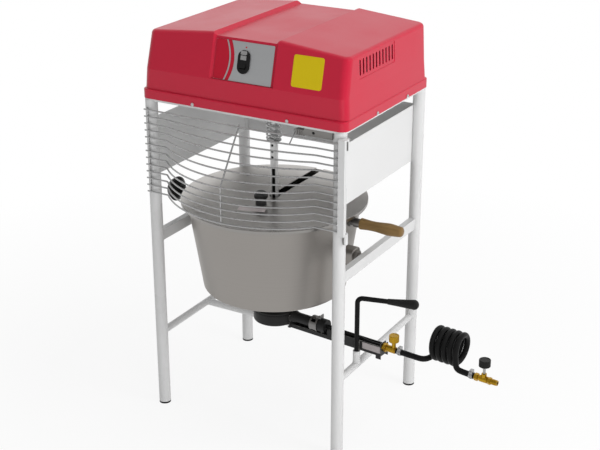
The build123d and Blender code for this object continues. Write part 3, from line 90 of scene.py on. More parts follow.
# %% [markdown]
# ## Gas hose
# A black rubber hose runs from the burner's tap through a coil of nearly five turns to the inlet tap.
# It could be a mesh swept by hand, but one NURBS curve with a round bevel follows the whole route and stays
# smooth with few points. The coil's turns are points of the same curve, worked out in a loop. The curve
# runs a little inside its sixteen points a turn, so they lie on a slightly wider circle.

# %% Hose route
ARM_TURN = radians(-5.614)
POT_AXIS = Vector((0.0, -0.067, 0.0))
HOSE_D = 0.015
HOSE_Z = 0.279
HOSE_START = 0.3815
HOSE_LEAD = (0.425, 0.4684)
HOSE_TAIL = ((0.5525, 0.004), (0.5725, 0.0), (0.6065, 0.0))
COIL_START = 0.471
COIL_R = 0.0375
COIL_PITCH = 0.0166
COIL_TURNS = 4.75
TURN_POINTS = 16

arm_turned = Matrix.Rotation(ARM_TURN, 3, "Z")
arm_way = arm_turned @ X
arm_side = arm_turned @ Y


def by_arm(along, across, up):
    """A point along the burner's arm from the burner's axis, across it and up from the floor."""
    return POT_AXIS + arm_turned @ Vector((along, across, up))


def hose_route():
    """Points of the hose from the burner's tap to the inlet tap."""
    wide = COIL_R / cos(pi / TURN_POINTS)
    route = [(along, 0, HOSE_Z) for along in (HOSE_START, *HOSE_LEAD)]
    for i in range(1, round(COIL_TURNS * TURN_POINTS) + 1):
        turn = 2 * pi * i / TURN_POINTS
        along = COIL_START + COIL_PITCH * i / TURN_POINTS
        route.append((along, COIL_R + wide * sin(turn), HOSE_Z + COIL_R - wide * cos(turn)))
    return route + [(along, 0, HOSE_Z + up) for along, up in HOSE_TAIL]


route = [by_arm(*p) for p in hose_route()]
curve = bpy.data.curves.new("gas_hose", "CURVE")
curve.dimensions = "3D"
curve.bevel_depth = 1.0
curve.bevel_resolution = 6
spline = curve.splines.new("NURBS")
spline.points.add(len(route) - 1)
# The points carry the radius, so that the curve's box is true too.
for point, at in zip(spline.points, route):
    point.co = (*at, 1)
    point.radius = HOSE_D / 2
spline.order_u = 3
spline.use_endpoint_u = True
spline.resolution_u = 6
hose = link("gas_hose", curve)
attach(hose, "burner")
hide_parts("hose_lead", "hose_coil")
print("hose points", len(route))

# %% [markdown]
# ## Wiring nodes
# Materials, worlds and Geometry Nodes are all trees of nodes. Each node could be added, set and linked by
# lines of its own. This small class does all three in one call, so that a tree reads like a recipe.

# %% Node wiring
class Wiring:
    """Adds nodes to one tree."""

    def __init__(self, tree):
        self.tree = tree

    def feed(self, value, socket):
        """Links an output to a socket, or writes a plain value on it."""
        if isinstance(value, bpy.types.NodeSocket):
            self.tree.links.new(value, socket)
        else:
            socket.default_value = value

    def add(self, kind, *first, **values):
        """A node of a kind. Its settings are given in lower case, its sockets in order or by name."""
        node = self.tree.nodes.new(kind if "Node" in kind else "ShaderNode" + kind)
        for key in filter(str.islower, values):
            setattr(node, key, values[key])
        for socket, value in zip(node.inputs, first):
            self.feed(value, socket)
        for key, value in values.items():
            if not key.islower():
                self.feed(value, node.inputs[key.replace("_", " ")])
        return node

    def out(self, kind, *first, **values):
        """The first output of a new node."""
        return self.add(kind, *first, **values).outputs[0]

    def calc(self, operation, *values):
        """The result of a Math node on sockets or plain numbers."""
        return self.out("Math", *values, operation=operation)

    def ranged(self, value, low, high, to_low=0.0, to_high=1.0):
        """A value between low and high, laid on another range."""
        return self.out("MapRange", Value=value, From_Min=low, From_Max=high, To_Min=to_low, To_Max=to_high)


print("wiring can", [verb for verb in vars(Wiring) if verb[0] != "_"])

# %% [markdown]
# ## White background
# The photograph is a cut-out on white. Stronger lamps could turn the background white, but they would wash
# out the paint too. So rays from the camera, from gloss and through glass see the world as white, while
# every other ray finds a dimmer light.
# Behind the camera the studio is darker, and that reflection sets the hood's leaning front off.

# %% World
WHITE = (1, 1, 1, 1)
AMBIENT = 0.50
DARK_SPAN = (-0.5, 0.2, 0.5, 1.0)


def seen_directly(tree):
    """1 for rays from the camera, from gloss or through glass."""
    path = tree.add("LightPath").outputs
    looked_at = tree.calc("MAXIMUM", path["Is Camera Ray"], path["Is Glossy Ray"])
    return tree.calc("MAXIMUM", looked_at, path["Is Transmission Ray"])


def empty_tree(owner):
    """The cleared node tree of a world or a material."""
    owner.use_nodes = True
    owner.node_tree.nodes.clear()
    return Wiring(owner.node_tree)


world = bpy.data.worlds.new("studio")
bpy.context.scene.world = world
tree = empty_tree(world)
way = tree.add("SeparateXYZ", tree.add("TexCoord").outputs["Generated"])
front = tree.ranged(way.outputs["Y"], *DARK_SPAN)
in_view = tree.add("LightPath").outputs["Is Camera Ray"]
dim = tree.out("Background", Color=WHITE, Strength=AMBIENT)
white = tree.out("Background", Color=WHITE, Strength=tree.calc("MAXIMUM", front, in_view))
mixed = tree.out("MixShader", seen_directly(tree), dim, white)
tree.add("OutputWorld", Surface=mixed)
print("world", world.name)

# %% [markdown]
# ## Floor
# A wide pale floor stands for the studio sweep. A plain floor would render grey, and one that only glows
# would lose the shadow. So this one glows for the same rays that see the world as white,
# and near the machine it keeps a share of its real shading, so that the shadow stays.

# %% Floor
FLOOR_TONE = (0.9, 0.9, 0.9, 1)
FLOOR_HALF = 14.0
GLOW_SPAN = (0.7, 1.8, 0.86, 1.0)

floor_finish = bpy.data.materials.new("studio_floor")
tree = empty_tree(floor_finish)
place = tree.add("TexCoord").outputs["Object"]
far = tree.add("VectorMath", place, operation="LENGTH").outputs["Value"]
spread = tree.ranged(far, *GLOW_SPAN)
matt = tree.out("BsdfDiffuse", Color=FLOOR_TONE)
glow = tree.out("Emission", Color=WHITE, Strength=1.0)
share = tree.calc("MULTIPLY", seen_directly(tree), spread)
mixed = tree.out("MixShader", share, matt, glow)
tree.add("OutputMaterial", Surface=mixed)

floor_mesh = bpy.data.meshes.new("floor")
corners = [(x * FLOOR_HALF, y * FLOOR_HALF, 0) for x, y in ((-1, -1), (1, -1), (1, 1), (-1, 1))]
floor_mesh.from_pydata(corners, [], [(0, 1, 2, 3)])
floor_mesh.materials.append(floor_finish)
link("floor", floor_mesh)
print("floor", 2 * FLOOR_HALF, "m wide")

# %% [markdown]
# ## Lamps
# A studio lights such a machine with softboxes. Sun or spot lamps would throw hard shadows, so three square
# area lamps are used: the key from the right, a weak one from above and a low fill from beside the camera.
# Reflections don't show them: the world already gives the gloss.

# %% Lamps
MIDDLE = Vector((0.0, 0.0, 0.6))


def softbox(name, at, size, watts):
    """A square area lamp aimed at the machine, which reflections don't show."""
    data = bpy.data.lights.new(name, "AREA")
    data.size = size
    data.energy = watts
    lamp = link(name, data)
    lamp.location = at
    lamp.rotation_euler = aimed(Vector(at), MIDDLE)
    lamp.visible_glossy = False


softbox("key_right", at=(3.2, 0.1, 2.2), size=1.6, watts=54.0)
softbox("top", at=(0.2, 0.3, 3.4), size=1.8, watts=20.0)
softbox("fill_low", at=(2.2, -2.4, 0.55), size=1.4, watts=32.0)
bpy.context.scene.view_settings.view_transform = "Standard"
print("lamps", len(bpy.data.lights))

# %% [markdown]
# ## Shared surface effects
# Real finishes are never one flat colour. Every material could hold its own noise and bump nodes, but three
# node groups carry what the finishes share, so that a finish is only a few values.
# Each rounds the sharp edges of the solids a little with a Bevel node, which leaves their meshes alone.

# %% Ends of a group
COLOUR = "NodeSocketColor"
FLOAT = "NodeSocketFloat"
VECTOR = "NodeSocketVector"
GREY = (0.5, 0.5, 0.5, 1)
GIVEN_TO_ALL = [
    ("Colour", COLOUR, GREY),
    ("Spread", FLOAT, 0.1),
    ("Roughness Low", FLOAT, 0.3),
    ("Roughness High", FLOAT, 0.4),
]
SURFACE = [("Colour", COLOUR), ("Roughness", FLOAT), ("Normal", VECTOR)]
EDGE_R = 0.0006
EDGE_SAMPLES = 4
NOISE_SPAN = (0.3, 0.7)


def ends_of(tree):
    """The wiring of a group or a tree, what it is given and its results."""
    return Wiring(tree), tree.nodes.new("NodeGroupInput").outputs, tree.nodes.new("NodeGroupOutput").inputs


def new_group(name, inputs):
    """An empty shader node group with its sockets."""
    group = bpy.data.node_groups.new(name, "ShaderNodeTree")
    for label, kind, value in GIVEN_TO_ALL + inputs:
        group.interface.new_socket(label, in_out="INPUT", socket_type=kind).default_value = value
    for label, kind in SURFACE:
        group.interface.new_socket(label, in_out="OUTPUT", socket_type=kind)
    return ends_of(group)


def place_in(group):
    """Where a point of the piece lies."""
    return group.add("TexCoord").outputs["Object"]


def noise_on(group, vector, scale, detail):
    """A noise on a vector."""
    return group.out("TexNoise", Vector=vector, Scale=scale, Detail=detail)


def shaded(group, given, noise):
    """The given colour, darkened and lightened by a noise."""
    value = group.calc("MULTIPLY_ADD", group.calc("SUBTRACT", noise, 0.5), given["Spread"], 1.0)
    return group.out("HueSaturation", Value=value, Color=given["Colour"])


def put_out(group, given, result, colour, dulling, grain, depth):
    """Ends a group: its colour, a roughness by one noise, and a bump by another over rounded edges."""
    rough = group.ranged(dulling, *NOISE_SPAN, given["Roughness Low"], given["Roughness High"])
    rounded = group.out("Bevel", samples=EDGE_SAMPLES, Radius=EDGE_R)
    bump = group.out("Bump", Strength=1.0, Distance=depth, Height=grain, Normal=rounded)
    for (label, _), value in zip(SURFACE, (colour, rough, bump)):
        group.feed(value, result[label])
    print("group", group.tree.name)
    return group.tree


print("every group gives", [label for label, _ in SURFACE])

# %% [markdown]
# ## Skins
# Paint, mouldings, films and castings are skins: clouds in the colour, a fine grain in the relief,
# and a colour along sharp edges, which is wear and on the burner's arm also a painted highlight.
# Wear could be painted by hand on a picture for each piece. Here the edges are found where the rounded
# normal leaves the true one, which works on any piece and needs no UV map.

# %% Skin
EDGE_SPAN = (0.995, 0.9)
EDGE_PATCH_SCALE = 90.0
EDGE_PATCH_SPAN = (0.42, 0.6)


def edge_mask(group):
    """1 along sharp edges."""
    rounded = group.out("Bevel", samples=EDGE_SAMPLES, Radius=2 * EDGE_R)
    true = group.add("NewGeometry").outputs["Normal"]
    dot = group.add("VectorMath", rounded, true, operation="DOT_PRODUCT").outputs["Value"]
    return group.ranged(dot, *EDGE_SPAN)


def skin_group():
    """A sprayed or moulded skin."""
    inputs = [
        ("Cloud Scale", FLOAT, 8.0),
        ("Grain Scale", FLOAT, 600.0),
        ("Grain Depth", FLOAT, 0.0001),
        ("Edge Colour", COLOUR, GREY),
        ("Edge Wear", FLOAT, 0.0),
    ]
    group, given, result = new_group("surface_skin", inputs)
    place = place_in(group)
    clouds = noise_on(group, place, given["Cloud Scale"], 4.0)
    grain = noise_on(group, place, given["Grain Scale"], 2.0)
    patches = group.ranged(noise_on(group, place, EDGE_PATCH_SCALE, 3.0), *EDGE_PATCH_SPAN)
    # Along sharp edges the edge colour comes in: wear, and on the burner's arm also a painted highlight.
    worn = group.calc("MULTIPLY", edge_mask(group), group.calc("MULTIPLY", patches, given["Edge Wear"]))
    both = group.add("Mix", data_type="RGBA", Factor=worn)
    group.feed(shaded(group, given, clouds), both.inputs[6])
    group.feed(given["Edge Colour"], both.inputs[7])
    return put_out(group, given, result, both.outputs[2], clouds, grain, given["Grain Depth"])


SKIN = skin_group()

# %% [markdown]
# ## Drawn metal and wood
# Wire, bar and brushed sheet have streaks along one direction, and so has wood.
# A picture of brushed metal would need a UV map on every piece. A noise on stretched coordinates needs
# none, and it gives the streaks, the roughness and the relief at once.

# %% Drawn metal
def drawn_group():
    """Streaks along one direction."""
    inputs = [("Stretch", VECTOR, (600.0, 600.0, 8.0)), ("Depth", FLOAT, 0.00003)]
    group, given, result = new_group("drawn_metal", inputs)
    stretched = group.out("VectorMath", place_in(group), given["Stretch"], operation="MULTIPLY")
    streaks = noise_on(group, stretched, 1.0, 3.0)
    return put_out(group, given, result, shaded(group, given, streaks), streaks, streaks, given["Depth"])


DRAWN = drawn_group()

# %% [markdown]
# ## Turned metal
# The pot and the lid are spun on a lathe, which leaves rings round their axis. A Wave texture would draw
# them too evenly, so a noise on the distance from the axis gives the rings.
# A broad noise gives stains, and the lid's turned-down lip is darkened as painted shade on its rim.

# %% Turned metal
STAIN_SCALE = 6.0


def turned_group():
    """Rings round an upright axis, stains and painted shade on the lip outside a radius."""
    inputs = [
        ("Axis", VECTOR, (0.0, 0.0, 0.0)),
        ("Rings", FLOAT, 500.0),
        ("Depth", FLOAT, 0.00003),
        ("Lip Radius", FLOAT, 10.0),
        ("Lip Tone", FLOAT, 1.0),
    ]
    group, given, result = new_group("turned_metal", inputs)
    place = place_in(group)
    off = group.out("VectorMath", place, given["Axis"], operation="SUBTRACT")
    parts = group.add("SeparateXYZ", off).outputs
    across = group.calc("MULTIPLY", parts["X"], parts["X"])
    deep = group.calc("MULTIPLY", parts["Y"], parts["Y"])
    radius = group.calc("SQRT", group.calc("ADD", across, deep))
    along = group.calc("SUBTRACT", radius, parts["Z"])
    rings = group.out("TexNoise", noise_dimensions="1D", W=along, Scale=given["Rings"], Detail=3.0)
    stains = noise_on(group, place, STAIN_SCALE, 5.0)
    both = group.calc("MULTIPLY", group.calc("ADD", rings, stains), 0.5)
    # Outside the lip radius the colour is darkened: painted shade on the lid's rim.
    outside = group.calc("GREATER_THAN", radius, given["Lip Radius"])
    tone = group.calc("POWER", given["Lip Tone"], outside)
    lip_shaded = group.out("HueSaturation", Value=tone, Color=shaded(group, given, both))
    return put_out(group, given, result, lip_shaded, stains, rings, given["Depth"])


TURNED = turned_group()

# %% [markdown]
# ## Finishes
# Each finish is one material. What stays the same all over, such as metalness or how strongly an enamel
# shines, is set on the shader itself, and only what varies comes from a group.
# A finish is written as its colour, how far that varies, and its roughness from low to high.
# A skin adds its shine and its grain, which is a scale and a depth in metres.

# %% Finish makers
def finish_of(name, group, colour, spread, rough, metallic=0.0, shine=0.5, **values):
    """A material whose colour, roughness and relief come from one of the shared groups."""
    made = bpy.data.materials.new(name)
    made.use_nodes = True
    tree = Wiring(made.node_tree)
    shader = made.node_tree.nodes["Principled BSDF"].inputs
    shader["Metallic"].default_value = metallic
    shader["Specular IOR Level"].default_value = shine
    values.update(Colour=(*colour, 1), Spread=spread, Roughness_Low=rough[0], Roughness_High=rough[1])
    surface = tree.add("Group", node_tree=group, **values).outputs
    for label, socket in (("Colour", "Base Color"), ("Roughness", "Roughness"), ("Normal", "Normal")):
        tree.feed(surface[label], shader[socket])
    return made


def skin(name, colour, spread, rough, shine, grain, **values):
    """A paint, a moulding or a film."""
    values.update(Grain_Scale=grain[0], Grain_Depth=grain[1])
    return finish_of(name, SKIN, colour, spread, rough, shine=shine, **values)


def metal(name, colour, spread, rough, group=DRAWN, **values):
    """A bare metal, drawn unless another group is given."""
    return finish_of(name, group, colour, spread, rough, metallic=1.0, **values)


def grey(tone):
    """A colour without hue."""
    return tone, tone, tone


print("finishes use", SKIN.name, DRAWN.name, TURNED.name)

# %% [markdown]
# ## Paints and mouldings
# The hood and the frame are enamelled, the knobs and the feet are moulded plastic, the lever and the arm
# are painted by brush, and the burner is rough cast metal. Each could have a node tree of its own, but they
# differ only in colour, shine, grain and edge colour, which is wear and on the arm also a painted highlight,
# so each is a line of values for the skin.

# %% Paints and mouldings
SPRAYED = (900.0, 0.00004)
SHEET = (700.0, 0.00005)
MOULDED = (1400.0, 0.00006)
FINE = (1400.0, 0.00005)
BRUSHED_ON = (800.0, 0.00006)
CAST = (500.0, 0.0003)
HAMMERED = (600.0, 0.0001)
RUBBERY = (900.0, 0.00005)

red_enamel = skin("red_enamel", (0.50, 0.005, 0.032), 0.06, (0.28, 0.36), 0.4, SPRAYED)
white_enamel = skin("white_enamel", grey(0.62), 0.05, (0.25, 0.35), 0.3, SPRAYED)
grey_sheet = skin("grey_sheet", grey(0.66), 0.06, (0.4, 0.5), 0.3, SHEET)
black_moulding = skin("black_moulding", grey(0.010), 0.3, (0.3, 0.42), 0.15, MOULDED)
glossy_moulding = skin("glossy_moulding", grey(0.010), 0.3, (0.3, 0.4), 0.7, FINE)
grey_moulding = skin("grey_moulding", (0.25, 0.24, 0.23), 0.1, (0.4, 0.5), 0.3, MOULDED)
pale_moulding = skin("pale_moulding", grey(0.27), 0.06, (0.35, 0.45), 0.3, FINE)
scraper_white = skin("scraper_white", (0.6, 0.6, 0.57), 0.08, (0.4, 0.5), 0.3, FINE)
black_paint = skin(
    "black_paint", grey(0.008), 0.3, (0.32, 0.45), 0.08, BRUSHED_ON,
    Edge_Colour=(0.1, 0.1, 0.1, 1), Edge_Wear=0.7,
)
# The arm's pale edge colour is partly edge wear and partly a painted highlight along its top edges.
arm_paint = skin(
    "arm_paint", grey(0.022), 0.3, (0.32, 0.45), 0.2, BRUSHED_ON,
    Edge_Colour=(0.42, 0.40, 0.37, 1), Edge_Wear=0.9,
)
cast_metal = skin(
    "cast_metal", grey(0.010), 0.5, (0.42, 0.55), 0.25, CAST,
    Cloud_Scale=40.0, Edge_Colour=(0.05, 0.05, 0.05, 1), Edge_Wear=0.6,
)
motor_paint = skin("motor_paint", (0.05, 0.07, 0.09), 0.2, (0.4, 0.5), 0.3, HAMMERED)
hose_rubber = skin("hose_rubber", grey(0.008), 0.3, (0.34, 0.46), 0.08, RUBBERY)
# This near-black finish is painted shade for the dark insides of the burner's ports and the clamps' slots.
soot_black = skin("soot_black", grey(0.002), 0.3, (0.5, 0.6), 0.1, RUBBERY)
print("materials so far", len(bpy.data.materials))

# %% [markdown]
# ## Bare metals and wood
# Shafts, spring and guard are drawn steel, the pot and the lid spun aluminium, the taps brass and the pot's
# handle turned wood. A plain metal of one roughness would look like chrome, so each has its own streaks or
# rings. A small value in a stretch draws the streaks out along that axis.

# %% Bare metals and wood
NO_STREAKS = (500.0, 500.0, 500.0)
LID_LIP = 0.001

bright_steel = metal("bright_steel", grey(0.40), 0.25, (0.22, 0.34))
spring_steel = metal("spring_steel", grey(0.72), 0.2, (0.34, 0.44), Stretch=NO_STREAKS)
worn_steel = metal("worn_steel", (0.21, 0.205, 0.20), 0.35, (0.28, 0.42))
guard_steel = metal("guard_steel", grey(0.43), 0.25, (0.22, 0.34), Stretch=(20.0, 700.0, 700.0))
plate_silver = metal("plate_silver", (0.50, 0.508, 0.515), 0.12, (0.4, 0.5), Stretch=(8.0, 900.0, 900.0))
spun_aluminium = metal("spun_aluminium", (0.335, 0.316, 0.297), 0.2, (0.4, 0.5), TURNED, Axis=POT_AXIS)
lid_low, lid_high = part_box("lid")
# The lid's lip gets a darker colour outside its radius: painted shade on the rim.
polished_aluminium = metal(
    "polished_aluminium", (0.54, 0.52, 0.50), 0.2, (0.26, 0.36), TURNED, Axis=POT_AXIS,
    Lip_Radius=(lid_high[0] - lid_low[0]) / 2 - LID_LIP, Lip_Tone=0.575,
)
brass = metal("brass", (0.46, 0.27, 0.022), 0.3, (0.22, 0.36), Stretch=NO_STREAKS)
wood = finish_of(
    "turned_wood", DRAWN, (0.19, 0.115, 0.042), 0.7, (0.4, 0.55),
    shine=0.25, Stretch=(9.0, 160.0, 160.0), Depth=0.0001,
)
print("materials so far", len(bpy.data.materials))

# %% [markdown]
# ## Films
# The thin films and plates are smooth and rather matt, and the pilot's lens is glossy. Their colour could
# come from a picture, but each is one plain field, so a skin with a very fine grain is enough.

# %% Films
FILM = (1500.0, 0.00002)

yellow_film = skin("yellow_film", (0.62, 0.47, 0.006), 0.05, (0.4, 0.5), 0.15, FILM)
red_film = skin("red_film", (0.47, 0.010, 0.030), 0.05, (0.35, 0.45), 0.15, FILM)
pale_film = skin("pale_film", (0.82, 0.74, 0.74), 0.08, (0.35, 0.45), 0.2, FILM)
grey_film = skin("grey_film", (0.37, 0.34, 0.34), 0.08, (0.35, 0.45), 0.2, FILM)
red_lens = skin("red_lens", (0.5, 0.01, 0.012), 0.1, (0.1, 0.2), 0.5, FILM)
print("materials", len(bpy.data.materials))

# %% [markdown]
# ## Finishes on the solids
# Every solid takes one finish. Finishes could be set piece by piece in the editor, but a list can be read
# and checked at a glance, like a paint shop's order: the finish, then its pieces.

# %% Assign the finishes
SOLIDS = [
    (red_enamel, ["hood"]),
    (white_enamel, [
        "leg_front_left", "leg_front_right", "leg_rear_left", "leg_rear_right",
        "pivot_rail_left", "pivot_rail_right", "lower_rail_left", "lower_rail_right",
        "cross_rail", "burner_socket", "guard_channel", "hinge_eyes",
    ]),
    (grey_sheet, ["deck_plate", "side_panel_left", "side_panel_right", "rear_panel"]),
    (black_moulding, [
        "foot_caps", "switch_housing", "switch_rocker", "side_knob", "lever_grip", "inlet_knob",
        "drive_belt",
    ]),
    (glossy_moulding, ["lid_knob"]),
    (grey_moulding, ["limit_switch"]),
    (scraper_white, ["scraper_blades"]),
    (black_paint, ["lever_rod", "gas_pipe", "drive_rod"]),
    (arm_paint, ["burner_arm"]),
    (motor_paint, ["motor", "gearbox"]),
    (cast_metal, ["burner_head", "venturi"]),
    (bright_steel, [
        "motor_shaft", "motor_pulley", "worm_shaft", "worm_pulley", "spring_washers", "limit_lever",
        "hose_clamps", "agitator_hub", "agitator_arms",
    ]),
    (spring_steel, ["drive_tube"]),
    (worn_steel, ["air_shutter", "handle_ferrule"]),
    (plate_silver, ["control_panel"]),
    (spun_aluminium, ["pot", "trunnions"]),
    (polished_aluminium, ["lid"]),
    (brass, ["gas_valve", "gas_knob", "inlet_valve"]),
    (wood, ["wooden_handle"]),
]


def put_on(piece, finish):
    """Gives a piece one finish all over."""
    piece.data.materials.clear()
    piece.data.materials.append(finish)


for finish, names in SOLIDS:
    for name in names:
        put_on(cad_nodes[name], finish)
put_on(hose, hose_rubber)
print("finished solids", sum(len(names) for _, names in SOLIDS))

# %% [markdown]
# ## Small parts on points
# Screws, ribs, weld beads and burner ports are one small part set many times on known points.
# Copies could be placed one by one as objects, but a Geometry Nodes tree makes one piece of them all.
# Each point carries the direction its part faces and the one it lies along.
# The tree ends in a real mesh, so what it makes is a piece like any other.

# %% Tree for small parts
OBJECT = "NodeSocketObject"
MATERIAL = "NodeSocketMaterial"
GEOMETRY = "NodeSocketGeometry"


def geometry_tree(name, inputs):
    """A Geometry Nodes tree with a geometry in and out, named inputs and a finish."""
    tree = bpy.data.node_groups.new(name, "GeometryNodeTree")
    for label, kind in [("Points", GEOMETRY), *inputs, ("Finish", MATERIAL)]:
        tree.interface.new_socket(label, in_out="INPUT", socket_type=kind)
    tree.interface.new_socket("Piece", in_out="OUTPUT", socket_type=GEOMETRY)
    return ends_of(tree)


def close_tree(tree, source, given, result):
    """Realizes what the tree made and gives it its finish."""
    real = tree.out("GeometryNodeRealizeInstances", Geometry=source)
    finished = tree.out("GeometryNodeSetMaterial", Geometry=real, Material=given["Finish"])
    tree.feed(finished, result["Piece"])
    return tree.tree


def set_tree():
    """Sets a part on every point."""
    tree, given, result = geometry_tree("set_on_points", [("Part", OBJECT), ("Size", FLOAT)])
    part = tree.add("GeometryNodeObjectInfo", Object=given["Part"], As_Instance=True).outputs["Geometry"]

    def turned(axis, pivot, label, **values):
        way = tree.add("GeometryNodeInputNamedAttribute", data_type="FLOAT_VECTOR", Name=label)
        values.update(axis=axis, pivot_axis=pivot, Vector=way.outputs["Attribute"])
        return tree.out("FunctionNodeAlignRotationToVector", **values)

    turn = turned("Y", "Z", "along", Rotation=turned("Z", "AUTO", "facing"))
    copies = tree.out(
        "GeometryNodeInstanceOnPoints", Points=given["Points"], Instance=part, Rotation=turn,
        Scale=given["Size"],
    )
    return close_tree(tree, copies, given, result)


SET_ON_POINTS = set_tree()
print("tree", SET_ON_POINTS.name)

# %% [markdown]
# ## Wound wire
# The spring on the shaft and the thread of the inlet are wires wound round an axis. A Screw modifier could
# wind them, but all its turns are equally far apart. This tree draws a spiral, can bring its end turns
# closer together and gives it a round section.

# %% Tree for wound wire
WIRE_SIDES = 12
COIL_STEPS = 32


def round_wire(tree, path, thickness):
    """A round wire along a curve."""
    radius = tree.calc("MULTIPLY", thickness, 0.5)
    section = tree.out("GeometryNodeCurvePrimitiveCircle", Resolution=WIRE_SIDES, Radius=radius)
    return tree.out("GeometryNodeCurveToMesh", Curve=path, Profile_Curve=section, Fill_Caps=True)


def wound_tree():
    """Winds a wire round an axis; its end turns lie closer than the others."""
    inputs = [(label, FLOAT) for label in ("Radius", "Height", "Turns", "Wire", "Closed Ends")]
    tree, given, result = geometry_tree("wound_wire", inputs + [("At", VECTOR), ("Turn", VECTOR)])
    coil = tree.out(
        "GeometryNodeCurveSpiral", Resolution=COIL_STEPS, Rotations=given["Turns"],
        Start_Radius=given["Radius"], End_Radius=given["Radius"], Height=given["Height"],
    )
    along = tree.add("GeometryNodeSplineParameter").outputs["Factor"]
    eased = tree.out("MapRange", interpolation_type="SMOOTHSTEP", Value=along)
    gap = tree.calc("MULTIPLY", tree.calc("SUBTRACT", eased, along), given["Closed Ends"])
    lift = tree.out("CombineXYZ", Z=tree.calc("MULTIPLY", gap, given["Height"]))
    moved = tree.out("GeometryNodeSetPosition", Geometry=coil, Offset=lift)
    placed = tree.out(
        "GeometryNodeTransform", Geometry=round_wire(tree, moved, given["Wire"]),
        Translation=given["At"], Rotation=given["Turn"],
    )
    return close_tree(tree, placed, given, result)


WOUND_WIRE = wound_tree()
print("tree", WOUND_WIRE.name)

# %% [markdown]
# ## Making pieces
# A tree could stay on its piece as a live modifier, but a piece that moves is simplest as a plain mesh.
# So the tree runs once on its points and leaves a mesh, which rides on one body of the machine.

# %% Making pieces with the trees
SMOOTH_BELOW = radians(40)


def on_body(piece, body):
    """Lets a piece ride on a body."""
    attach(piece, body)
    print(piece.name, len(piece.data.polygons), "faces")
    return piece


def frozen(piece):
    """What the modifiers of a piece make, as a plain mesh."""
    ready = bpy.context.evaluated_depsgraph_get()
    return bpy.data.meshes.new_from_object(piece.evaluated_get(ready))


def grow(name, tree, places, body, slot, **values):
    """Runs a tree on (place, facing, along) points and keeps the result as a plain piece on a body."""
    points = bpy.data.meshes.new(name + "_points")
    points.from_pydata([at for at, _, _ in places], [], [])
    for label, k in (("facing", 1), ("along", 2)):
        layer = points.attributes.new(label, "FLOAT_VECTOR", "POINT")
        for value, place in zip(layer.data, places):
            value.vector = place[k]
    seed = link(name + "_seed", points)
    modifier = seed.modifiers.new("grow", "NODES")
    modifier.node_group = tree
    for item in tree.interface.items_tree:
        if item.in_out == "INPUT" and item.name in values:
            modifier[item.identifier] = values[item.name]
    made = frozen(seed)
    bpy.data.objects.remove(seed)
    made.shade_smooth()
    made.set_sharp_from_angle(angle=SMOOTH_BELOW)
    return on_body(link(name, made), body)


def set_parts(name, part, places, finish, body, slot, size=1.0):
    """Sets a small part on a list of places."""
    return grow(name, SET_ON_POINTS, places, body, slot, Part=part, Finish=finish, Size=size)


print("pieces are smooth below", round(SMOOTH_BELOW, 3), "radians")

# %% [markdown]
# ## Small parts
# Screw heads, ribs and beads could be shaped from Blender's own cylinders and spheres, vertex by vertex.
# It is shorter to turn a part from an outline, as on a lathe, or to stack it from flat outlines,
# and to cut holes by a Boolean. Parts that repeat are kept aside until a tree sets them.

# %% Turned and stacked parts
def meshed(bm, name):
    """A bmesh made into a mesh whose faces point outwards."""
    bmesh.ops.recalc_face_normals(bm, faces=bm.faces)
    mesh = bpy.data.meshes.new(name)
    bm.to_mesh(mesh)
    bm.free()
    return mesh


def lathed(name, outline, segments=24):
    """A part turned round its Z axis from (radius, height) points, closed at the axis."""
    bm = bmesh.new()
    turn = 2 * pi / segments
    rings = []
    for r, z in outline:
        count = segments if r else 1
        rings.append([bm.verts.new((r * cos(k * turn), r * sin(k * turn), z)) for k in range(count)])
    for low, high in zip(rings, rings[1:]):
        for k in range(segments):
            n = k + 1
            corners = [low[k % len(low)], low[n % len(low)], high[n % len(high)], high[k % len(high)]]
            bm.faces.new(list(dict.fromkeys(corners)))
    return meshed(bm, name)


def stacked(name, layers):
    """A block through (outline, height) layers with the same count of points."""
    bm = bmesh.new()
    rings = [[bm.verts.new((x, y, z)) for x, y in outline] for outline, z in layers]
    bm.faces.new(list(reversed(rings[0])))
    bm.faces.new(rings[-1])
    for low, high in zip(rings, rings[1:]):
        for k in range(len(low)):
            n = (k + 1) % len(low)
            bm.faces.new([low[k], low[n], high[n], high[k]])
    return meshed(bm, name)


def kept_aside(mesh):
    """A part that only the trees use: an object outside the scene."""
    return bpy.data.objects.new(mesh.name, mesh)


def with_cut(name, mesh, cutter):
    """A part with another mesh cut out of it."""
    whole = link(name, mesh)
    tool = link(name + "_tool", cutter)
    cut = whole.modifiers.new("cut", "BOOLEAN")
    cut.object = tool
    cut.operation = "DIFFERENCE"
    made = frozen(whole)
    made.name = name
    bpy.data.objects.remove(whole)
    bpy.data.objects.remove(tool)
    return made


print("part makers", lathed.__name__, stacked.__name__, with_cut.__name__)

# %% [markdown]
# ## Screws
# The hood is held by eight domed screws with a cross recess, and the limit switch by one more.
# A bump could hint at the recess, but it would look flat from the side. So one head is turned and cut once,
# and the tree sets it wherever a screw goes.

# %% Hood and switch screws
SCREW_R = 0.0045
SCREW_H = 0.0038
SCREW_EDGE = 0.0008
SCREW_SUNK = 0.0005
CROSS_L = 0.0024
CROSS_W = 0.0006
CROSS_DEEP = 0.0016
SCREW_UP = 0.0048
SCREW_X = 0.135
SCREW_Y = (-0.066, 0.100)
SWITCH_SCREW_IN = 0.0495
SWITCH_SCREW_DOWN = 0.013
SWITCH_SCREW_SIZE = 0.75

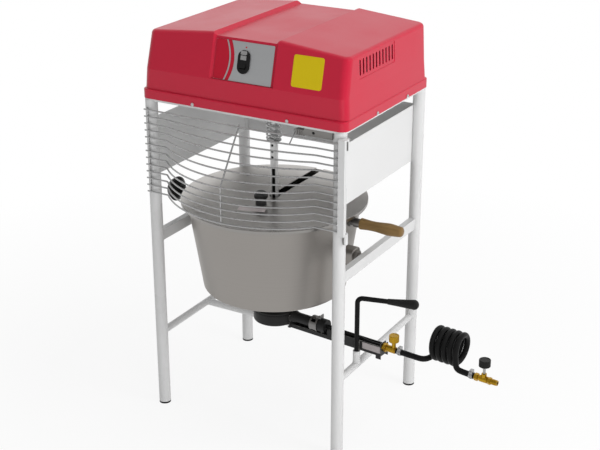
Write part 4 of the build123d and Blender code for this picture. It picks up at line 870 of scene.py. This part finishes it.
slopes = [radians(d) for d in range(0, 90, 15)]
dome = [(SCREW_R * cos(a), SCREW_EDGE + (SCREW_H - SCREW_EDGE) * sin(a)) for a in slopes]
head = lathed("screw_head", [(0, -SCREW_SUNK), (SCREW_R, -SCREW_SUNK)] + dome + [(0, SCREW_H)])
arm = [(CROSS_L, CROSS_W), (CROSS_W, CROSS_W), (CROSS_W, CROSS_L)]
cross = []
for _ in range(4):
    cross += arm
    arm = [(-y, x) for x, y in arm]
cross_cut = stacked("cross_cut", [(cross, SCREW_H - CROSS_DEEP), (cross, 2 * SCREW_H)])
screw = kept_aside(with_cut("screw", head, cross_cut))

hood_low, hood_high = [Vector(v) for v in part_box("hood")]
screw_z = hood_low.z + SCREW_UP
places = []
for side, edge in ((-1, hood_low), (1, hood_high)):
    places += [((x, edge.y, screw_z), side * Y, Z) for x in (-SCREW_X, SCREW_X)]
    places += [((edge.x, y, screw_z), side * X, Z) for y in SCREW_Y]
hood_screws = set_parts("hood_screw_heads", screw, places, spring_steel, "stand", "bright_steel")
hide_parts("hood_screws")

box_low, box_high = [Vector(v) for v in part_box("limit_switch")]
places = [((box_high.x - SWITCH_SCREW_IN, box_low.y, box_high.z - SWITCH_SCREW_DOWN), -Y, Z)]
set_parts("limit_switch_screw", screw, places, black_paint, "stand", "dark_steel", SWITCH_SCREW_SIZE)

# %% [markdown]
# ## Spring on the shaft
# The drive shaft carries a coil spring between two washers. It could be a curve with hundreds of points,
# but the tree for wound wire needs only its sizes, and it brings the end turns closer together,
# as on a real compression spring.

# %% Shaft spring
SPRING_WIRE = 0.005
SPRING_TURNS = 8.0
SPRING_START = radians(-60)
spring_low, spring_high = [Vector(v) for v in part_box("shaft_spring")]
spring_mid = (spring_low + spring_high) / 2
spring = grow(
    "spring_coil", WOUND_WIRE, [], "drive", "bright_steel",
    Radius=(spring_high.x - spring_low.x - SPRING_WIRE) / 2,
    Height=spring_high.z - spring_low.z - SPRING_WIRE,
    Turns=SPRING_TURNS,
    Wire=SPRING_WIRE,
    At=(spring_mid.x, spring_mid.y, spring_low.z + SPRING_WIRE / 2),
    Turn=(0.0, 0.0, SPRING_START),
    Finish=spring_steel,
    **{"Closed Ends": 0.5},
)
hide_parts("shaft_spring")

# %% [markdown]
# ## Wire guard
# Thirteen wires bulge to the front between two kinks, and the lower ones stand out more.
# Each could be a curve drawn by hand, but one rule keeps them all in step. The tree draws straight lines
# for the wires, for the tie behind them and for the end bar, then moves every point forward by that rule:
# an arc between the kinks whose height follows from the row.

# %% Guard tree
INT = "NodeSocketInt"
GUARD = {
    "Rows": 13,
    "Pitch": 0.01833,
    "Top Z": 0.851,
    "Straight Y": -0.237,
    "Left X": -0.2792,
    "Right X": 0.2955,
    "Kink X": 0.215,
    "Least Bulge": 0.006,
    "Full Bulge": 0.0919,
    "Full Row": 7.0,
    "Softness": 0.0045,
    "Tie X": 0.005,
    "Bar X": -0.2712,
    "Wire": 0.0042,
}
WIRE_POINTS = 220
UPRIGHT_POINTS = 90
UPRIGHT_BACK = 0.8
ROW_SOFTNESS = 0.06
PAST_KINK = 1.15


def guard_tree():
    """Wires by rows, moved forward by the rule of the bulge."""
    inputs = [(label, INT if label == "Rows" else FLOAT) for label in GUARD]
    tree, given, result = geometry_tree("wire_guard", inputs)
    count, pitch, top, straight_y, left, right, kink, least, full, full_row, soft, tie, bar, wire = (
        given[label] for label in GUARD
    )
    by = tree.calc

    def point(x=0.0, y=0.0, z=0.0):
        return tree.out("CombineXYZ", x, y, z)

    def straight(start, end, steps):
        line = tree.out("GeometryNodeCurvePrimitiveLine", Start=start, End=end)
        return tree.out("GeometryNodeResampleCurve", Curve=line, Count=steps)

    down = point(z=by("MULTIPLY", pitch, -1.0))
    rows = tree.out("GeometryNodeMeshLine", Count=count, Start_Location=point(z=top), Offset=down)
    wire_line = straight(point(left), point(right), WIRE_POINTS)
    copies = tree.out("GeometryNodeInstanceOnPoints", Points=rows, Instance=wire_line)
    wires = tree.out("GeometryNodeRealizeInstances", Geometry=copies)

    above = by("ADD", top, wire)
    span = by("MULTIPLY", by("SUBTRACT", count, 1.0), pitch)
    below = by("SUBTRACT", by("SUBTRACT", top, span), wire)
    behind = by("MULTIPLY", wire, UPRIGHT_BACK)
    everything = tree.add("GeometryNodeJoinGeometry", wires)
    for x in (tie, bar):
        upright = straight(point(x, behind, above), point(x, behind, below), UPRIGHT_POINTS)
        tree.feed(upright, everything.inputs[0])

    place = tree.add("SeparateXYZ", tree.out("GeometryNodeInputPosition")).outputs
    row = by("DIVIDE", by("SUBTRACT", top, place["Z"]), pitch)
    share = by("SMOOTH_MIN", by("DIVIDE", row, full_row), 1.0, ROW_SOFTNESS)
    sag = by("MULTIPLY_ADD", by("SUBTRACT", full, least), share, least)
    arc_r = by("DIVIDE", by("MULTIPLY_ADD", sag, sag, by("MULTIPLY", kink, kink)), by("MULTIPLY", sag, 2.0))
    x = by("MINIMUM", by("ABSOLUTE", place["X"]), by("MULTIPLY", kink, PAST_KINK))
    flat = by("SUBTRACT", by("MULTIPLY", arc_r, arc_r), by("MULTIPLY", x, x))
    arc = by("SUBTRACT", by("SQRT", flat), by("SUBTRACT", arc_r, sag))
    forward = by("SMOOTH_MAX", arc, 0.0, soft)
    offset = point(y=by("SUBTRACT", straight_y, forward))
    moved = tree.out("GeometryNodeSetPosition", Geometry=everything.outputs[0], Offset=offset)
    return close_tree(tree, round_wire(tree, moved, wire), given, result)


WIRE_GUARD = guard_tree()
print("tree", WIRE_GUARD.name)

# %% [markdown]
# ## Guard and its spot welds
# The tree makes the guard. On the real one a spot weld holds each wire where it crosses the tie or the
# end bar. Their places could be picked by eye, but they follow from the same sizes as the wires,
# so a flat bead is set on each crossing by calculation.

# %% Guard and its spot welds
SPOT_LINE = [(0, -0.0012), (0.0024, -0.0008), (0.0030, 0.0), (0.0024, 0.0008), (0, 0.0012)]
SPOT_BACK = 0.45 * GUARD["Wire"]

guard = grow("guard_mesh", WIRE_GUARD, [], "guard", "bright_steel", Finish=guard_steel, **GUARD)
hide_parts("guard_wires")

spot = kept_aside(lathed("spot_weld", SPOT_LINE, 10))
spot_y = GUARD["Straight Y"] + SPOT_BACK
extra = GUARD["Full Bulge"] - GUARD["Least Bulge"]
places = []
for row in range(GUARD["Rows"]):
    z = GUARD["Top Z"] - row * GUARD["Pitch"]
    bulge = GUARD["Least Bulge"] + extra * min(1.0, row / GUARD["Full Row"])
    places.append(((GUARD["Tie X"], spot_y - bulge, z), Y, X))
    places.append(((GUARD["Bar X"], spot_y, z), Y, X))
set_parts("guard_spot_welds", spot, places, guard_steel, "guard", "bright_steel")

# %% [markdown]
# ## Seams of the hinge eyes
# Each eye of the guard's hinge is a rolled sleeve, and the bare pin shows in its open seam.
# The sleeve could be cut open, but a thin bent strip of bare steel shows the same and leaves the solid
# alone.

# %% Seams of the hinge eyes
ARC_STEPS = 8
EYE_AT = Vector((0.2921, -0.2240, 0.0))
EYE_R = 0.0065
EYE_H = 0.024
SEAM_PROUD = 0.0002
SEAM_SHORT = 0.001
SEAM_WIDE = 50
SEAM_LOW = radians(-115)
SEAM_HIGH = radians(-49)


def bent_strip(outer, inner, middle, width, centre=(0.0, 0.0)):
    """The section of a strip bent round a centre, by two radii, a middle and a width in degrees."""
    ways = [radians(middle + width * (k / ARC_STEPS - 0.5)) for k in range(ARC_STEPS + 1)]
    section = [(outer, a) for a in ways] + [(inner, a) for a in reversed(ways)]
    return [(centre[0] + r * cos(a), centre[1] + r * sin(a)) for r, a in section]


seam = bent_strip(EYE_R + SEAM_PROUD, EYE_R - SEAM_PROUD, 0, SEAM_WIDE)
eyes_low, eyes_high = [Vector(v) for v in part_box("hinge_eyes")]
strip = kept_aside(stacked("hinge_seam", [(seam, SEAM_SHORT), (seam, EYE_H - SEAM_SHORT)]))
places = []
for z, a in ((eyes_low.z, SEAM_LOW), (eyes_high.z - EYE_H, SEAM_HIGH)):
    places.append((EYE_AT + z * Z, Z, Vector((-sin(a), cos(a), 0))))
set_parts("hinge_seams", strip, places, worn_steel, "stand", "bright_steel")

# %% [markdown]
# ## Flat parts on faces
# Films and plates lie on faces that lean or turn. They could be moved there as objects by hand. Here each
# is drawn flat and then laid on its face by the directions of its own X and Y, so that it sits exactly.

# %% Laying flat parts
FRONT_AT = Vector((0.0, -0.2207, 0.9525))
FRONT_UP = Vector((0.0, 0.24571, 0.96934))
FRONT_OUT = Vector((0.0, -0.96934, 0.24571))
FLAT_SMOOTH = radians(35)
CORNER_STEPS = 6


def on_front(x, y, out):
    """A point on the hood's leaning front, across it, up the slope and out of it."""
    return FRONT_AT + x * X + y * FRONT_UP + out * FRONT_OUT


def fixed_flat(mesh, at, right, up, finish, body, slot):
    """Lays a flat part on a face by the directions of its own X and Y."""
    turn = Matrix((right, up, right.cross(up))).transposed().to_4x4()
    mesh.transform(Matrix.Translation(at) @ turn)
    mesh.shade_smooth()
    mesh.set_sharp_from_angle(angle=FLAT_SMOOTH)
    mesh.materials.append(finish)
    return on_body(link(mesh.name, mesh), body)


def rounded_box(width, height, radius, inset=0.0):
    """The outline of a flat plate with round corners, drawn in by an inset."""
    r = radius - inset
    outline = []
    for k, (sx, sy) in enumerate(((1, 1), (-1, 1), (-1, -1), (1, -1))):
        for step in range(CORNER_STEPS + 1):
            a = pi / 2 * (k + step / CORNER_STEPS)
            x = sx * (width / 2 - radius) + r * cos(a)
            outline.append((x, sy * (height / 2 - radius) + r * sin(a)))
    return outline


def plate(name, width, height, corner, thick, *where):
    """Fixes a thin plate with a softened edge on a face."""
    whole = rounded_box(width, height, corner)
    top = rounded_box(width, height, corner, thick / 2)
    return fixed_flat(stacked(name, [(whole, 0.0), (whole, thick / 2), (top, thick)]), *where)


print("front leans", round(FRONT_UP.angle(Z), 3), "radians")

# %% [markdown]
# ## Control plate
# The control plate carries a red film with a bowed edge, a stripe and a small red lens.
# They could be colours on the plate's own material, but as thin pieces they have crisp edges from any side.
# The bow is a parabola, which needs only its depth.

# %% Control film and lens
PLATE_DEEP = -0.0045
FILM_T = 0.0003
FILM_LOW = 0.0034
FILM_HIGH = 0.1000
FILM_LEFT = -0.0813
FILM_CORNER = 0.0023
FILM_BOW = 0.012
FILM_STEPS = 24
FIELD_RIGHT = -0.0540
STRIPE_LEFT = -0.0495
STRIPE_RIGHT = -0.0395
LENS_LINE = [(0, 0), (0.0019, 0), (0.0019, 0.0004), (0.0014, 0.0010), (0, 0.0013)]


def bowed(x):
    """A line up the plate that bows to the right."""
    ways = [2 * k / FILM_STEPS - 1 for k in range(FILM_STEPS + 1)]
    half = (FILM_HIGH - FILM_LOW) / 2
    return [(x + FILM_BOW * (1 - way**2), FILM_LOW + half * (1 + way)) for way in ways]


field = [(FILM_LEFT, FILM_LOW + FILM_CORNER), (FILM_LEFT + FILM_CORNER, FILM_LOW)]
field += bowed(FIELD_RIGHT)
field += [(FILM_LEFT + FILM_CORNER, FILM_HIGH), (FILM_LEFT, FILM_HIGH - FILM_CORNER)]
stripe = bowed(STRIPE_LEFT) + bowed(STRIPE_RIGHT)[::-1]
for name, outline in (("control_film", field), ("control_stripe", stripe)):
    film = stacked(name, [(outline, 0.0), (outline, FILM_T)])
    fixed_flat(film, on_front(0, 0, PLATE_DEEP), X, FRONT_UP, red_film, "stand", "red_paint")

lens = lathed("pilot_lens", LENS_LINE)
fixed_flat(lens, on_front(0.0028, 0.0874, PLATE_DEEP), X, FRONT_UP, red_lens, "stand", "red_paint")

# %% [markdown]
# ## Switch cap and bare plates
# The switch has a pale window and a cap that tips with its rocker, and thin bare plates sit on the hood,
# the lid and the burner's arm. A cube with a Bevel modifier would do, but one function with an outline of
# round corners gives all five by their width, height, corner and thickness.

# %% Switch cap and bare plates
WINDOW_DEEP = PLATE_DEEP + 0.004
CAP_DEEP = PLATE_DEEP + 0.00388
CAP_LEAN = radians(0.64)
LID_PLATE_AT = Vector((-0.0002, -0.177, 0.6145))
LID_PLATE_TURN = Matrix.Rotation(radians(18), 3, "Z")

plate(
    "switch_window", 0.0175, 0.0096, 0.003, 0.0006,
    on_front(0, 0.0738, WINDOW_DEEP), X, FRONT_UP, pale_moulding, "stand", "grey_plastic",
)
cap_up = FRONT_UP * cos(CAP_LEAN) + FRONT_OUT * sin(CAP_LEAN)
plate(
    "switch_cap", 0.0162, 0.0108, 0.0008, 0.0006,
    on_front(0, 0.0621, CAP_DEEP), X, cap_up, pale_moulding, "rocker", "grey_plastic",
)
plate(
    "hood_plate", 0.0816, 0.0759, 0.006, 0.0005,
    on_front(0.1788, 0.0512, 0), X, FRONT_UP, yellow_film, "stand", "plate_silver",
)
plate(
    "lid_plate", 0.072, 0.028, 0.002, 0.0004,
    LID_PLATE_AT, LID_PLATE_TURN @ X, LID_PLATE_TURN @ Y, pale_film, "lid", "plate_silver",
)
plate(
    "arm_plate", 0.054, 0.018, 0.0015, 0.0003,
    by_arm(0.314, -0.0125, 0.272), arm_way, Z, grey_film, "burner", "plate_silver",
)

# %% [markdown]
# ## Edges of the hood
# The sheet of the hood is bent round its roof edges without a break, but the solid has a fine slit there.
# Its mesh could be mended by hand. A narrow strip of the same paint that follows each rounding, just proud
# of it, closes the slit and leaves the solid alone.

# %% Strips on the roof edges
ROOF_R = 0.011
STRIP_OUT = ROOF_R + 0.00002
STRIP_IN = ROOF_R - 0.0007
EAVE_AT = (0.27142, 1.03591)
EAVE_ARC = (43.7, 9)
EAVE_Y = (-0.1815, 0.2020)
BACK_AT = (0.20703, 1.06038)
BACK_RUN = (0.00229, -0.0901)
BACK_ARC = (45.7, 16)
BACK_X = (0.0945, 0.266)


def back_strip(x):
    """The strip's section on the back edge, which falls away to both sides."""
    centre = [at + run * abs(x) for at, run in zip(BACK_AT, BACK_RUN)]
    return bent_strip(STRIP_OUT, STRIP_IN, *BACK_ARC, centre), x


eave = bent_strip(STRIP_OUT, STRIP_IN, *EAVE_ARC, EAVE_AT)
for side, hand in ((-1, "left"), (1, "right")):
    strip = stacked("hood_eave_" + hand, [(eave, y) for y in sorted(-side * y for y in EAVE_Y)])
    fixed_flat(strip, Vector(), side * X, Z, red_enamel, "stand", "red_paint")
    strip = stacked("hood_back_" + hand, [back_strip(x) for x in sorted(side * x for x in BACK_X)])
    fixed_flat(strip, Vector(), Y, Z, red_enamel, "stand", "red_paint")

# %% [markdown]
# ## Burner cup and its ports
# The burner is a cast cup with a ring of drilled gas ports. Dark dots on the cup would look painted on,
# so the holes are really cut out of the turned cup, and a dark disc at the bottom of each is painted shade.

# %% Burner cup
CUP_R = 0.059
CUP_LOW = 0.263
CUP_HIGH = 0.303
CUP_ROUND = 0.005
CUP_SLOPE = 0.004
CUP_TOP_R = 0.82 * CUP_R
PORT_R = 0.0021
PORT_DEEP = 0.003
PORT_Z = 0.2935
PORTS = 58
DARK_R = 1.1 * PORT_R
DARK_T = 0.001
DARK_IN = 0.0006


def around(at, axis, first, radius, count):
    """Places round an axis: each point faces along the axis and lies along its radius."""
    second = axis.cross(first)
    turns = [2 * pi * k / count for k in range(count)]
    ways = [first * cos(a) + second * sin(a) for a in turns]
    return [(at + radius * way, axis, way) for way in ways]


corner = [radians(d) for d in (0, 22, 45, 67, 90)]
cup_line = [(CUP_R - CUP_ROUND * (1 - sin(a)), CUP_LOW + CUP_ROUND * (1 - cos(a))) for a in corner]
cup_line = [(0, CUP_LOW), *cup_line, (CUP_R, CUP_HIGH - CUP_SLOPE), (CUP_TOP_R, CUP_HIGH), (0, CUP_HIGH)]
drills = bmesh.new()
for at, axis, way in around(PORT_Z * Z, Z, X, CUP_R, PORTS):
    drill = Matrix.Translation(at) @ way.to_track_quat("Z", "Y").to_matrix().to_4x4()
    bmesh.ops.create_cone(
        drills, cap_ends=True, segments=10, radius1=PORT_R, radius2=PORT_R,
        depth=2 * PORT_DEEP, matrix=drill,
    )
cup_mesh = with_cut("burner_cup", lathed("cup_whole", cup_line, 132), meshed(drills, "port_cut"))
cup = fixed_flat(cup_mesh, POT_AXIS, X, Y, cast_metal, "burner", "cast_iron")
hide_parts("burner_head")

# The dark discs are painted shade: they darken the bottom of each port.
dark = kept_aside(lathed("port_dark", [(0, 0), (DARK_R, 0), (DARK_R, -DARK_T), (0, -DARK_T)], 10))
ports = around(POT_AXIS + PORT_Z * Z, Z, X, CUP_R - DARK_IN, PORTS)
places = [(at, way, axis) for at, axis, way in ports]
set_parts("burner_ports", dark, places, soot_black, "burner", "cast_iron")

# %% [markdown]
# ## Ribs of the knobs
# The lid's knob and the side knob have ribs for the fingers. They could be cut into the knobs, but each rib
# is the same small bar with round ends, so the tree sets it round the knob's axis.

# %% Knob ribs
RIB_PROUD = 0.3
# Knob, middle of the ribs, axis, first direction, radius, rib length, rib radius, ribs, body.
KNOBS = [
    ("lid_knob", Vector((0.002, -0.137, 0.6378)), Z, X, 0.0170, 0.0085, 0.0010, 28, "lid"),
    ("side_knob", Vector((-0.3084, -0.067, 0.576)), X, Y, 0.0325, 0.0070, 0.0016, 36, "pot"),
]


def capsule(name, length, radius):
    """A short round bar along Z with rounded ends, for ribs and slots."""
    half = length / 2
    quarter = [radians(d) for d in (0, 30, 60)]
    top = [(radius * cos(a), half - radius + radius * sin(a)) for a in quarter]
    low = [(r, -z) for r, z in reversed(top)]
    return lathed(name, [(0, -half)] + low + top + [(0, half)], 10)


for name, at, axis, first, radius, length, rib_r, count, body in KNOBS:
    rib = kept_aside(capsule(name + "_rib", length, rib_r))
    ribs = around(at, axis, first, radius - RIB_PROUD * rib_r, count)
    set_parts(name + "_ribs", rib, ribs, black_moulding, body, "black_plastic")

# %% [markdown]
# ## Taps
# The two taps are fluted knobs with a hollowed top on a thin stem. Flutes could be cut one by one, but an
# outline whose radius swings round the circle has them all. It is stacked up to the rim and into the hollow.

# %% Taps
TAP_EDGE = 0.0007
TAP_RIM = 0.0030
TAP_DISH = 0.0036
STEM_R = 0.0035
STEM_FLANGE_R = 0.0050
STEM_GAP = 0.0004
FLANGE_LOW = 0.0006
FLANGE_HIGH = 0.001


def fluted(radius, count, depth):
    """A round outline with flutes."""
    turns = [2 * pi * k / (6 * count) for k in range(6 * count)]
    sizes = [radius - depth * (0.5 - 0.5 * cos(count * a)) ** 2 for a in turns]
    return [(r * cos(a), r * sin(a)) for r, a in zip(sizes, turns)]


def tap(name, along, low, high, radius, count, depth, finish, stem_finish, body, slot):
    """A fluted knob with a hollowed top on a thin stem, in place of the plain solid."""
    at = by_arm(along, 0, 0)
    full = fluted(radius, count, depth)
    drawn_in = fluted(radius - TAP_EDGE, count, depth)
    rim = fluted(radius - TAP_RIM, count, 0.0)
    dish = fluted(radius - TAP_DISH, count, 0.0)
    layers = [(drawn_in, low), (full, low + TAP_EDGE), (full, high - TAP_EDGE)]
    layers += [(drawn_in, high), (rim, high), (dish, high - TAP_EDGE)]
    knob = fixed_flat(stacked(name + "_grip", layers), at, X, Y, finish, body, slot)
    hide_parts(name)
    foot = HOSE_Z + STEM_GAP
    stem_line = [(0, foot), (STEM_R, foot), (STEM_R, low + STEM_GAP)]
    stem_line += [(STEM_FLANGE_R, low + FLANGE_LOW), (0, low + FLANGE_HIGH)]
    fixed_flat(lathed(name + "_stem", stem_line), at, X, Y, stem_finish, body, slot)


tap("gas_knob", 0.374, 0.303, 0.321, 0.0130, 30, 0.0006, brass, brass, "burner_tap", "brass")
tap(
    "inlet_knob", 0.6305, 0.3145, 0.3325, 0.0145, 24, 0.0009,
    black_moulding, bright_steel, "inlet_tap", "black_plastic",
)

# %% [markdown]
# ## Lever's grip
# The burner's lever ends in a black sleeve that swells towards a round end. It could be modelled with a
# Subdivision Surface, but it is round all along, so turning its outline is shorter and exact.

# %% Lever's grip
LEVER_TOP = Vector((0.2712, -0.113, 0.405))
GRIP_TURN = radians(14)
GRIP_FROM = 0.078
GRIP_L = 0.080
GRIP_EDGE = 0.0006
GRIP_NECK = 0.0075
GRIP_R = 0.013
GRIP_END = 0.0122
GRIP_SWELL = 1.2

shoulder = GRIP_L - GRIP_END
grip_way = Vector((cos(GRIP_TURN), sin(GRIP_TURN), 0))
grip_side = Vector((-sin(GRIP_TURN), cos(GRIP_TURN), 0))
grip_line = [(0, 0), (GRIP_NECK - GRIP_EDGE, 0), (GRIP_NECK, GRIP_EDGE)]
for t in [k / 8 for k in range(1, 9)]:
    swollen = GRIP_NECK + (GRIP_R - GRIP_NECK) * t**GRIP_SWELL
    grip_line.append((swollen, GRIP_EDGE + (shoulder - GRIP_EDGE) * t))
for a in [radians(d) for d in range(12, 90, 13)]:
    grip_line.append((GRIP_R * cos(a), shoulder + GRIP_END * sin(a)))
grip_mesh = lathed("lever_sleeve", grip_line + [(0, GRIP_L)], 40)
grip_at = LEVER_TOP + GRIP_FROM * grip_way
sleeve = fixed_flat(grip_mesh, grip_at, grip_side, Z, black_moulding, "burner", "black_plastic")
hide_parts("lever_grip")

# %% [markdown]
# ## Hose clamps
# Each clamp is a slotted band with a screw. The slots could be cut by a Boolean, but they are so small that
# a dark bar let into the band, as painted shade in place of the open slot, looks the same.
# They go round the band, except where the screw sits.

# %% Clamp slots and screws
CLAMPS = (0.3925, 0.5965)
CLAMP_R = 0.0090
SLOTS = 18
SLOT_TOP = 0.5
SLOT_L = 0.0055
SLOT_R = 0.0004
CLAMP_SCREW_OUT = -0.006
CLAMP_SCREW_UP = 0.0115
CLAMP_SCREW_SIZE = 0.6

slots = []
clamp_screws = []
for along in CLAMPS:
    ring = around(by_arm(along, 0, HOSE_Z), arm_way, -Z, CLAMP_R, SLOTS)
    slots += [p for p in ring if p[2].z < SLOT_TOP]
    clamp_screws.append((by_arm(along, CLAMP_SCREW_OUT, HOSE_Z + CLAMP_SCREW_UP), -arm_side, Z))
# Each slot is a dark bar: painted shade standing in for the opening.
slot_bar = kept_aside(capsule("clamp_slot", SLOT_L, SLOT_R))
set_parts("clamp_slots", slot_bar, slots, soot_black, "burner", "dark_steel")
set_parts("clamp_screws", screw, clamp_screws, bright_steel, "burner", "bright_steel", CLAMP_SCREW_SIZE)

# %% [markdown]
# ## Thread of the inlet
# The inlet's nipple is threaded. A thread could be cut into the solid, but at this size only its ridge
# shows, so one more wound wire is enough.

# %% Nipple thread
THREAD_START = 0.6527

grow(
    "nipple_thread", WOUND_WIRE, [], "burner", "brass",
    Radius=0.0066,
    Height=0.0125,
    Turns=7.0,
    Wire=0.0013,
    At=by_arm(THREAD_START, 0, HOSE_Z),
    Turn=(0.0, pi / 2, ARM_TURN),
    Finish=brass,
    **{"Closed Ends": 0.0},
)

# %% [markdown]

# %% [markdown]
# ## Frame welds
# The frame's tubes are welded. A weld is a row of small overlapping beads along the line where one tube
# meets another. A bump on the paint would not show in the outline, so the tree sets real beads.
# The line follows from the two sections.

# %% Frame welds
LEG_AT = Vector((0.2712, 0.2151, 0.0))
LEG_R = 0.015875
RAIL_R = 0.009525
RAIL_Z = 0.2155
RAIL_BEADS = 26
PIVOT_Z = 0.498
PIVOT_HALF = Vector((0.0087, 0.01465))
PIVOT_STEP = 0.0024
SOCKET_Y = -0.113
CROSS_Y = 0.005
BEAD_LINE = [(0, -0.0011), (0.0014, -0.0008), (0.0019, 0.0), (0.0014, 0.0008), (0, 0.0011)]


def box_line(half_w, half_h, step):
    """Points of a rectangular section."""
    corners = [Vector((sx * half_w, sy * half_h)) for sx, sy in ((1, 1), (-1, 1), (-1, -1), (1, -1))]
    line = []
    for start, end in zip(corners, corners[1:] + corners[:1]):
        count = max(2, round((end - start).length / step))
        line += [tuple(start.lerp(end, k / count)) for k in range(count)]
    return line


turns = [2 * pi * k / RAIL_BEADS for k in range(RAIL_BEADS)]
rail_line = [(RAIL_R * cos(a), RAIL_R * sin(a)) for a in turns]
pivot_line = box_line(*PIVOT_HALF, PIVOT_STEP)
welds = []
for sx in (-1, 1):
    for sy in (-1, 1):
        for z, section in ((RAIL_Z, rail_line), (PIVOT_Z, pivot_line)):
            for across, up in section:
                reach = LEG_AT.y - sqrt(LEG_R**2 - across**2)
                at = (sx * LEG_AT.x + across, sy * reach, z + up)
                welds.append((at, Vector((across, 0, up)), -sy * Y))
    for deep, up in rail_line:
        reach = LEG_AT.x - sqrt(RAIL_R**2 - up**2)
        welds.append(((sx * reach, CROSS_Y + deep, RAIL_Z + up), Vector((0, deep, up)), -sx * X))
for across, deep in rail_line:
    height = RAIL_Z + sqrt(RAIL_R**2 - across**2)
    welds.append(((LEG_AT.x + across, SOCKET_Y + deep, height), Vector((across, deep, 0)), Z))
weld_bead = kept_aside(lathed("weld_bead", BEAD_LINE, 8))
set_parts("frame_welds", weld_bead, welds, white_enamel, "stand", "white_paint")

# %% [markdown]
